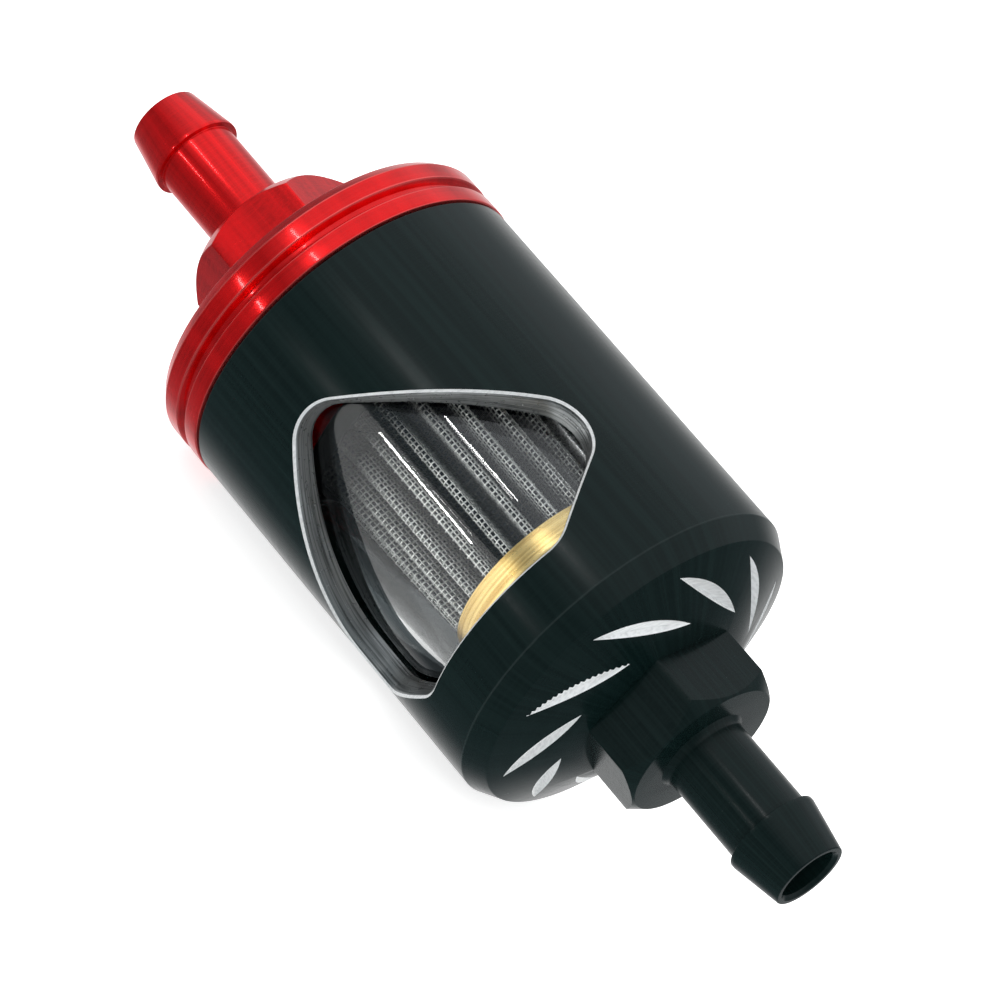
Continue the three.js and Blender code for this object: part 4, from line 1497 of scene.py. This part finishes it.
@dataclass(frozen=True)
class PleatPack:
    """The folded mesh of the element: its fold line, wires and fine cloth."""

    pleats: int = 24
    peak: float = 8.65
    valley: float = 6.6
    flat: float = 2.2
    start: float = 8.45
    end: float = 26.15
    fold_radius: float = 0.2
    cloth_depth: float = 0.27
    cloth_thickness: float = 0.16
    wire_depth: float = 0.06
    warp_spacing: float = 0.34
    weft_pitch: float = 0.44
    warp_radius: float = 0.045
    weft_radius: float = 0.07
    weft_wave: float = 0.07

    def fold_line(self, depth: float) -> np.ndarray:
        """The pleats' line, a distance inside the outermost one.

        Args:
            depth: The distance inwards.

        Returns:
            Closed points as Y and Z in millimetres.
        """
        pitch = 360.0 / self.pleats
        pairs = []
        for i in range(self.pleats):
            for radius, middle in ((self.peak, i * pitch), (self.valley, (i + 0.5) * pitch)):
                pairs += [(radius, middle - self.flat), (radius, middle + self.flat)]
        radii, angles = np.array([p[0] for p in pairs]), np.radians([p[1] for p in pairs])
        loop = np.stack([-radii * np.sin(angles), radii * np.cos(angles)], axis=1)
        before = loop - np.roll(loop, 1, axis=0)
        before /= np.linalg.norm(before, axis=1, keepdims=True)
        after = np.roll(before, -1, axis=0)
        first = np.stack([-before[:, 1], before[:, 0]], axis=1)
        second = np.stack([-after[:, 1], after[:, 0]], axis=1)
        mitre = first + second
        mitre /= np.linalg.norm(mitre, axis=1, keepdims=True)
        moved = loop + mitre * (depth / np.einsum("ij,ij->i", mitre, second))[:, None]
        return rounded([(y, z, self.fold_radius) for y, z in moved], closed=True, steps=3)

    def path(self, name: str, depth: float, station: float) -> bpy.types.Object:
        """The fold line as a closed path of edges at one station."""
        return path_piece(name, section_at(self.fold_line(depth), station), closed=True)

    def build(self, palette: Palette, trees: WireTrees) -> None:
        """Builds and settles the coarse wires and the fine cloth."""
        length = float(np.linalg.norm(np.diff(self.fold_line(self.wire_depth), axis=0), axis=1).sum())
        bars = 2 * round(length / self.warp_spacing / 2)
        rows = int((self.end - self.start - 0.3) / self.weft_pitch) + 1
        margin = (self.end - self.start - (rows - 1) * self.weft_pitch) / 2
        weft = run_tree(
            self.path("mesh_weft_wires", self.wire_depth, self.start + margin),
            trees.woven_rows,
            Rows=rows,
            Row_pitch=self.weft_pitch * MM,
            Steps=bars * 2,
            Wave=self.weft_wave * MM,
            Radius=self.weft_radius * MM,
            Sides=5,
            Material=palette.wire,
        )
        settle(weft, Body.ELEMENT, Slot.WOVEN, "support_mesh")
        warp = run_tree(
            self.path("mesh_warp_wires", self.wire_depth, self.start),
            trees.bars_on_path,
            Bars=bars,
            Length=(self.end - self.start) * MM,
            Radius=self.warp_radius * MM,
            Sides=5,
            Material=palette.wire,
        )
        settle(warp, Body.ELEMENT, Slot.WOVEN, "support_mesh")
        settle(self._cloth(palette.cloth), Body.ELEMENT, Slot.WOVEN, "fine_mesh")

    def _cloth(self, material: bpy.types.Material) -> bpy.types.Object:
        """The fine cloth, a thin folded sheet with its own UV map in millimetres."""
        outer = self.fold_line(self.cloth_depth)
        inner = self.fold_line(self.cloth_depth + self.cloth_thickness)
        count = len(outer)
        corners = ((outer, self.start), (outer, self.end), (inner, self.end), (inner, self.start))
        rings = [section_at(line, station) for line, station in corners]
        faces = []
        for k in range(4):
            a, b = k * count, ((k + 1) % 4) * count
            for i in range(count):
                j = (i + 1) % count
                faces.append([a + i, a + j, b + j, b + i])
        piece = mesh_piece("fine_mesh_cloth", np.vstack(rings), faces, [material])
        piece.data.set_sharp_from_angle(angle=math.radians(60))
        steps = np.linalg.norm(np.diff(np.vstack([outer, outer[:1]]), axis=0), axis=1)
        along = np.concatenate([[0.0], np.cumsum(steps)])
        layer = piece.data.uv_layers.new(name="cloth")
        uv = np.empty((len(piece.data.loops), 2))
        for polygon in piece.data.polygons:
            columns = [piece.data.loops[i].vertex_index % count for i in polygon.loop_indices]
            wraps = max(columns) - min(columns) > count // 2
            for i, column in zip(polygon.loop_indices, columns):
                place = piece.data.vertices[piece.data.loops[i].vertex_index].co.x / MM
                uv[i] = (along[count] if wraps and column == 0 else along[column], place)
        layer.data.foreach_set("uv", uv.ravel())
        return piece


@dataclass(frozen=True)
class Element:
    """The spring-loaded filter element: two end discs, core tube, pleats, clip and bush."""

    palette: Palette
    trees: WireTrees
    pack: PleatPack = PleatPack()
    radius: float = 9.2
    outlet_face: float = 7.4
    blind_face: float = 27.2
    skin: float = 0.25
    core: tuple[float, float] = (5.65, 6.05)
    hole_radius: float = 0.9
    hole_rows: int = 6
    holes_round: int = 10
    hub_end: float = 13.4
    clip_ends: tuple[float, float] = (9.7, 24.9)

    def build(self) -> None:
        """Builds and settles every piece of the element."""
        self._discs()
        self._core_tube()
        self.pack.build(self.palette, self.trees)
        self._seam_clip()
        self._spring()

    def _discs(self) -> None:
        """The outlet disc with its hub, the blind disc with its boss, and the rubber bush."""
        face, r, t = self.outlet_face, self.radius, self.skin
        outlet = [
            (face, 4.95, 0.1),
            (face, r, 0.45),
            (face + 1.8, r, 0.1),
            (face + 1.8, r - t, 0.1),
            (face + 0.8, r - t, 0.2),
            (face + 0.8, 5.3, 0.1),
            (self.hub_end, 5.3, 0.3),
            (self.hub_end, 3.85, 0.1),
            (13.0, 3.85, 0.1),
            (13.0, 4.95, 0.1),
        ]
        piece = mesh_piece("outlet_disc", *turned(rounded(outlet, closed=True)), [self.palette.plastic])
        settle(piece, Body.ELEMENT, Slot.PLASTIC, "outlet_end_disc")
        face = self.blind_face
        blind = [
            (face + 0.8, 0.0, 0.0),
            (face + 0.8, 4.2, 0.35),
            (face, 4.5, 0.3),
            (face, 8.2, 0.2),
            (face + 0.12, 8.5, 0.2),
            (face + 0.05, r, 0.5),
            (face - 2.1, r, 0.1),
            (face - 2.1, r - t, 0.1),
            (face - 0.8, r - t, 0.2),
            (face - 0.8, 0.0, 0.0),
        ]
        piece = mesh_piece("blind_brass_disc", *turned(rounded(blind)), [self.palette.brass])
        settle(piece, Body.ELEMENT, Slot.BRASS, "blind_end_disc")
        bush = [
            (7.5, 3.95, 0.2),
            (7.5, 4.75, 0.2),
            (12.8, 4.75, 0.2),
            (12.8, 3.8, 0.2),
            (12.0, 3.8, 0.2),
            (10.15, 3.95, 0.2),
        ]
        skin = turned(rounded(bush, closed=True), SMALL_SEGMENTS)
        piece = mesh_piece("rubber_bush", *skin, [self.palette.rubber])
        settle(piece, Body.ELEMENT, Slot.RUBBER, "outlet_grommet")

    def _core_tube(self) -> None:
        """The perforated tube inside the pleats."""
        steel = [self.palette.steel]
        inner, outer = self.core
        wall = [
            (self.pack.start, inner, 0.06),
            (self.pack.start, outer, 0.06),
            (self.pack.end, outer, 0.06),
            (self.pack.end, inner, 0.06),
        ]
        tube = mesh_piece("perforated_core", *turned(rounded(wall, closed=True), SMALL_SEGMENTS), steel)
        pitch = (self.pack.end - self.hub_end) / self.hole_rows
        first = self.hub_end + pitch / 2
        turns = np.radians(np.arange(0, 360, 30))
        middle = first - ORIGIN_STATION
        flat = np.stack(
            [middle + self.hole_radius * np.cos(turns), self.hole_radius * np.sin(turns)], axis=1
        )
        loops = [np.hstack([flat, np.full((len(flat), 1), z)]) * MM for z in (inner - 0.6, outer + 0.6)]
        punch = mesh_piece("punch", *drawn(loops), steel)
        run_tree(
            punch,
            self.trees.punches,
            Rows=self.hole_rows,
            Round=self.holes_round,
            Row_pitch=pitch * MM,
            Material=steel[0],
        )
        carve(tube, punch, Cut.REMOVE)
        dress_edges(tube)
        settle(tube, Body.ELEMENT, Slot.STEEL, "core_tube")

    def _seam_clip(self) -> None:
        """The folded strip that grips the cloth's two edges at one pleat."""
        half, skin, foot, top = 0.86, 0.18, 7.9, 9.05
        corners = [
            (-half, foot, 0.05),
            (-half, top, 0.4),
            (half, top, 0.4),
            (half, foot, 0.05),
            (half - skin, foot, 0.05),
            (half - skin, top - skin, 0.25),
            (-half + skin, top - skin, 0.25),
            (-half + skin, foot, 0.05),
        ]
        section = rounded(corners, closed=True)
        loops = [section_at(section, station) for station in self.clip_ends]
        clip = mesh_piece("seam_strip", *drawn(loops), [self.palette.steel])
        clip.data.set_sharp_from_angle(angle=math.radians(40))
        settle(clip, Body.ELEMENT, Slot.STEEL, "seam_clip")

    def _spring(self) -> None:
        """The light spring behind the blind disc."""
        wire, mean, turns, closed_turns = 0.4, 5.2, 4.5, 0.75
        first, last = self.blind_face + 0.2 + wire, 34.0 - 0.2 - wire
        rise = 2 * wire * closed_turns * 1.1
        open_turns = turns - 2 * closed_turns
        along = np.linspace(0, turns, int(turns * 48) + 1)
        low = np.minimum(along, closed_turns) / closed_turns
        high = np.maximum(along - closed_turns - open_turns, 0) / closed_turns
        middle = np.clip((along - closed_turns) / open_turns, 0, 1)
        station = first + rise * (low + high) + (last - first - 2 * rise) * middle
        path = path_piece("closing_spring", polar(station, mean, 360 * along), closed=False)
        spring = run_tree(
            path, self.trees.along_path, Radius=wire * MM, Sides=12, Material=self.palette.steel
        )
        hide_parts("element_spring")
        ends = [tuple(float(v) for v in polar(s, 0.0, 0.0)) for s in (first, last)]
        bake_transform(spring)
        LOG.info("closing_spring: %d faces between element and housing", len(spring.data.polygons))


# ---------------------------------------------------------------- studio


@dataclass(frozen=True)
class Studio:
    """Camera, pale floor and soft light."""

    azimuth: float = 24.52
    elevation: float = 22.87
    roll: float = 39.48
    distance: float = 347.9
    aim: tuple[float, float, float] = (1.74, 0.98, 0.19)
    lens: float = 165.5
    floor_height: float = -15.1
    floor_size: float = 12000.0
    front: Colour = (0.2, 0.24, 0.26)
    overhead: Colour = (1.0, 1.05, 1.1)
    strength: float = 0.95

    def build(self) -> None:
        """Builds the camera, floor, surroundings and lamps."""
        self._camera()
        self._floor()
        self._surroundings()
        self._lamps()
        bpy.context.scene.view_settings.view_transform = "Standard"

    def _towards_camera(self) -> Vector:
        """The direction from the filter to the camera."""
        az, el = math.radians(self.azimuth), math.radians(self.elevation)
        return Vector((math.cos(el) * math.sin(az), -math.cos(el) * math.cos(az), math.sin(el)))

    def _camera(self) -> None:
        """The camera, tilted about its line of sight."""
        az, roll = math.radians(self.azimuth), math.radians(self.roll)
        back = self._towards_camera()
        level = Vector((math.cos(az), math.sin(az), 0.0))
        above = back.cross(level)
        right = math.cos(roll) * level + math.sin(roll) * above
        up = back.cross(right)
        data = bpy.data.cameras.new("camera")
        data.lens = self.lens
        data.sensor_width = 36.0
        data.clip_start = 0.01
        camera = bpy.data.objects.new("camera", data)
        bpy.context.scene.collection.objects.link(camera)
        turn = Matrix((right, up, back)).transposed().to_4x4()
        camera.matrix_world = Matrix.Translation((Vector(self.aim) + self.distance * back) * MM) @ turn
        bpy.context.scene.camera = camera

    def _floor(self) -> None:
        """The pale floor under the filter, which shiny surfaces don't see."""
        half = self.floor_size / 2
        corners = [(-half, -half), (half, -half), (half, half), (-half, half)]
        points = np.array([(x, y, self.floor_height) for x, y in corners]) * MM
        floor = mesh_piece("floor", points, [[0, 1, 2, 3]], [FloorFinish().build()])
        floor.visible_glossy = False

    def _surroundings(self) -> None:
        """White light all round, which shiny surfaces see darker except far behind the filter."""
        world = bpy.data.worlds.new("surroundings")
        world.use_nodes = True
        world.node_tree.nodes.clear()
        n = Nodes(world.node_tree)
        path = n.add("ShaderNodeLightPath")
        direction = n.add("ShaderNodeTexCoord").outputs["Generated"]
        away = tuple(-self._towards_camera())
        facing = n.add("ShaderNodeVectorMath", {0: direction, 1: away}, operation="DOT_PRODUCT")
        behind = facing.outputs["Value"]
        height = n.add("ShaderNodeSeparateXYZ", {0: direction}).outputs[2]
        seen = n.mix(n.ramp(height, 0.25, 0.7, 0.0, 1.0), (*self.front, 1), (*self.overhead, 1))
        seen = n.mix(n.ramp(behind, 0.62, 0.97, 0.0, 1.0), seen, (1.0, 1.0, 1.0, 1))
        colour = n.mix(path.outputs["Is Glossy Ray"], (1.0, 1.0, 1.0, 1), seen)
        background = n.add("ShaderNodeBackground", {"Color": colour, "Strength": self.strength})
        n.add("ShaderNodeOutputWorld", {"Surface": background.outputs[0]})
        bpy.context.scene.world = world

    def _lamp(
        self,
        name: str,
        angle: float,
        along: float,
        far: float,
        size: tuple[float, float],
        radiance: float,
        mirrored: bool = True,
    ) -> None:
        """A soft rectangular lamp that faces the filter.

        Args:
            name: The lamp's name.
            angle: Its angle round the filter's axis.
            along: Its place along X in millimetres.
            far: Its distance from the axis in millimetres.
            size: Its length along X and its width, in millimetres.
            radiance: How bright it looks.
            mirrored: Whether shiny surfaces see it.
        """
        data = bpy.data.lights.new(name, "AREA")
        data.shape = "RECTANGLE"
        data.size, data.size_y = size[0] * MM, size[1] * MM
        data.energy = radiance * math.pi * data.size * data.size_y
        lamp = bpy.data.objects.new(name, data)
        bpy.context.scene.collection.objects.link(lamp)
        place = Vector(polar(ORIGIN_STATION + along, far, angle))
        back = place.normalized()
        side = back.cross(Vector((1.0, 0.0, 0.0)))
        side.normalize()
        turn = Matrix((side.cross(back), side, back)).transposed().to_4x4()
        lamp.matrix_world = Matrix.Translation(place) @ turn
        lamp.visible_glossy = mirrored

    def _lamps(self) -> None:
        """The lamps: a key above and the thin strips that draw lines on the glass."""
        self._lamp("key_lamp", -20.0, -250.0, 700.0, (500.0, 300.0), 3.0, mirrored=False)
        self._lamp("front_strip", 92.5, -165.0, 400.0, (90.0, 10.0), 40.0)
        self._lamp("upper_strip", 51.0, -165.0, 400.0, (90.0, 8.0), 30.0)


def main() -> None:
    """Builds the filter and its studio."""
    logging.basicConfig(level=logging.INFO, format="%(name)s %(message)s")
    palette = Palette.build()
    Studio().build()
    Housing(palette).build()
    EndCap(palette).build()
    GlassAndSeals(palette).build()
    Element(palette, WireTrees.build()).build()


if __name__ == "__main__":
    main()
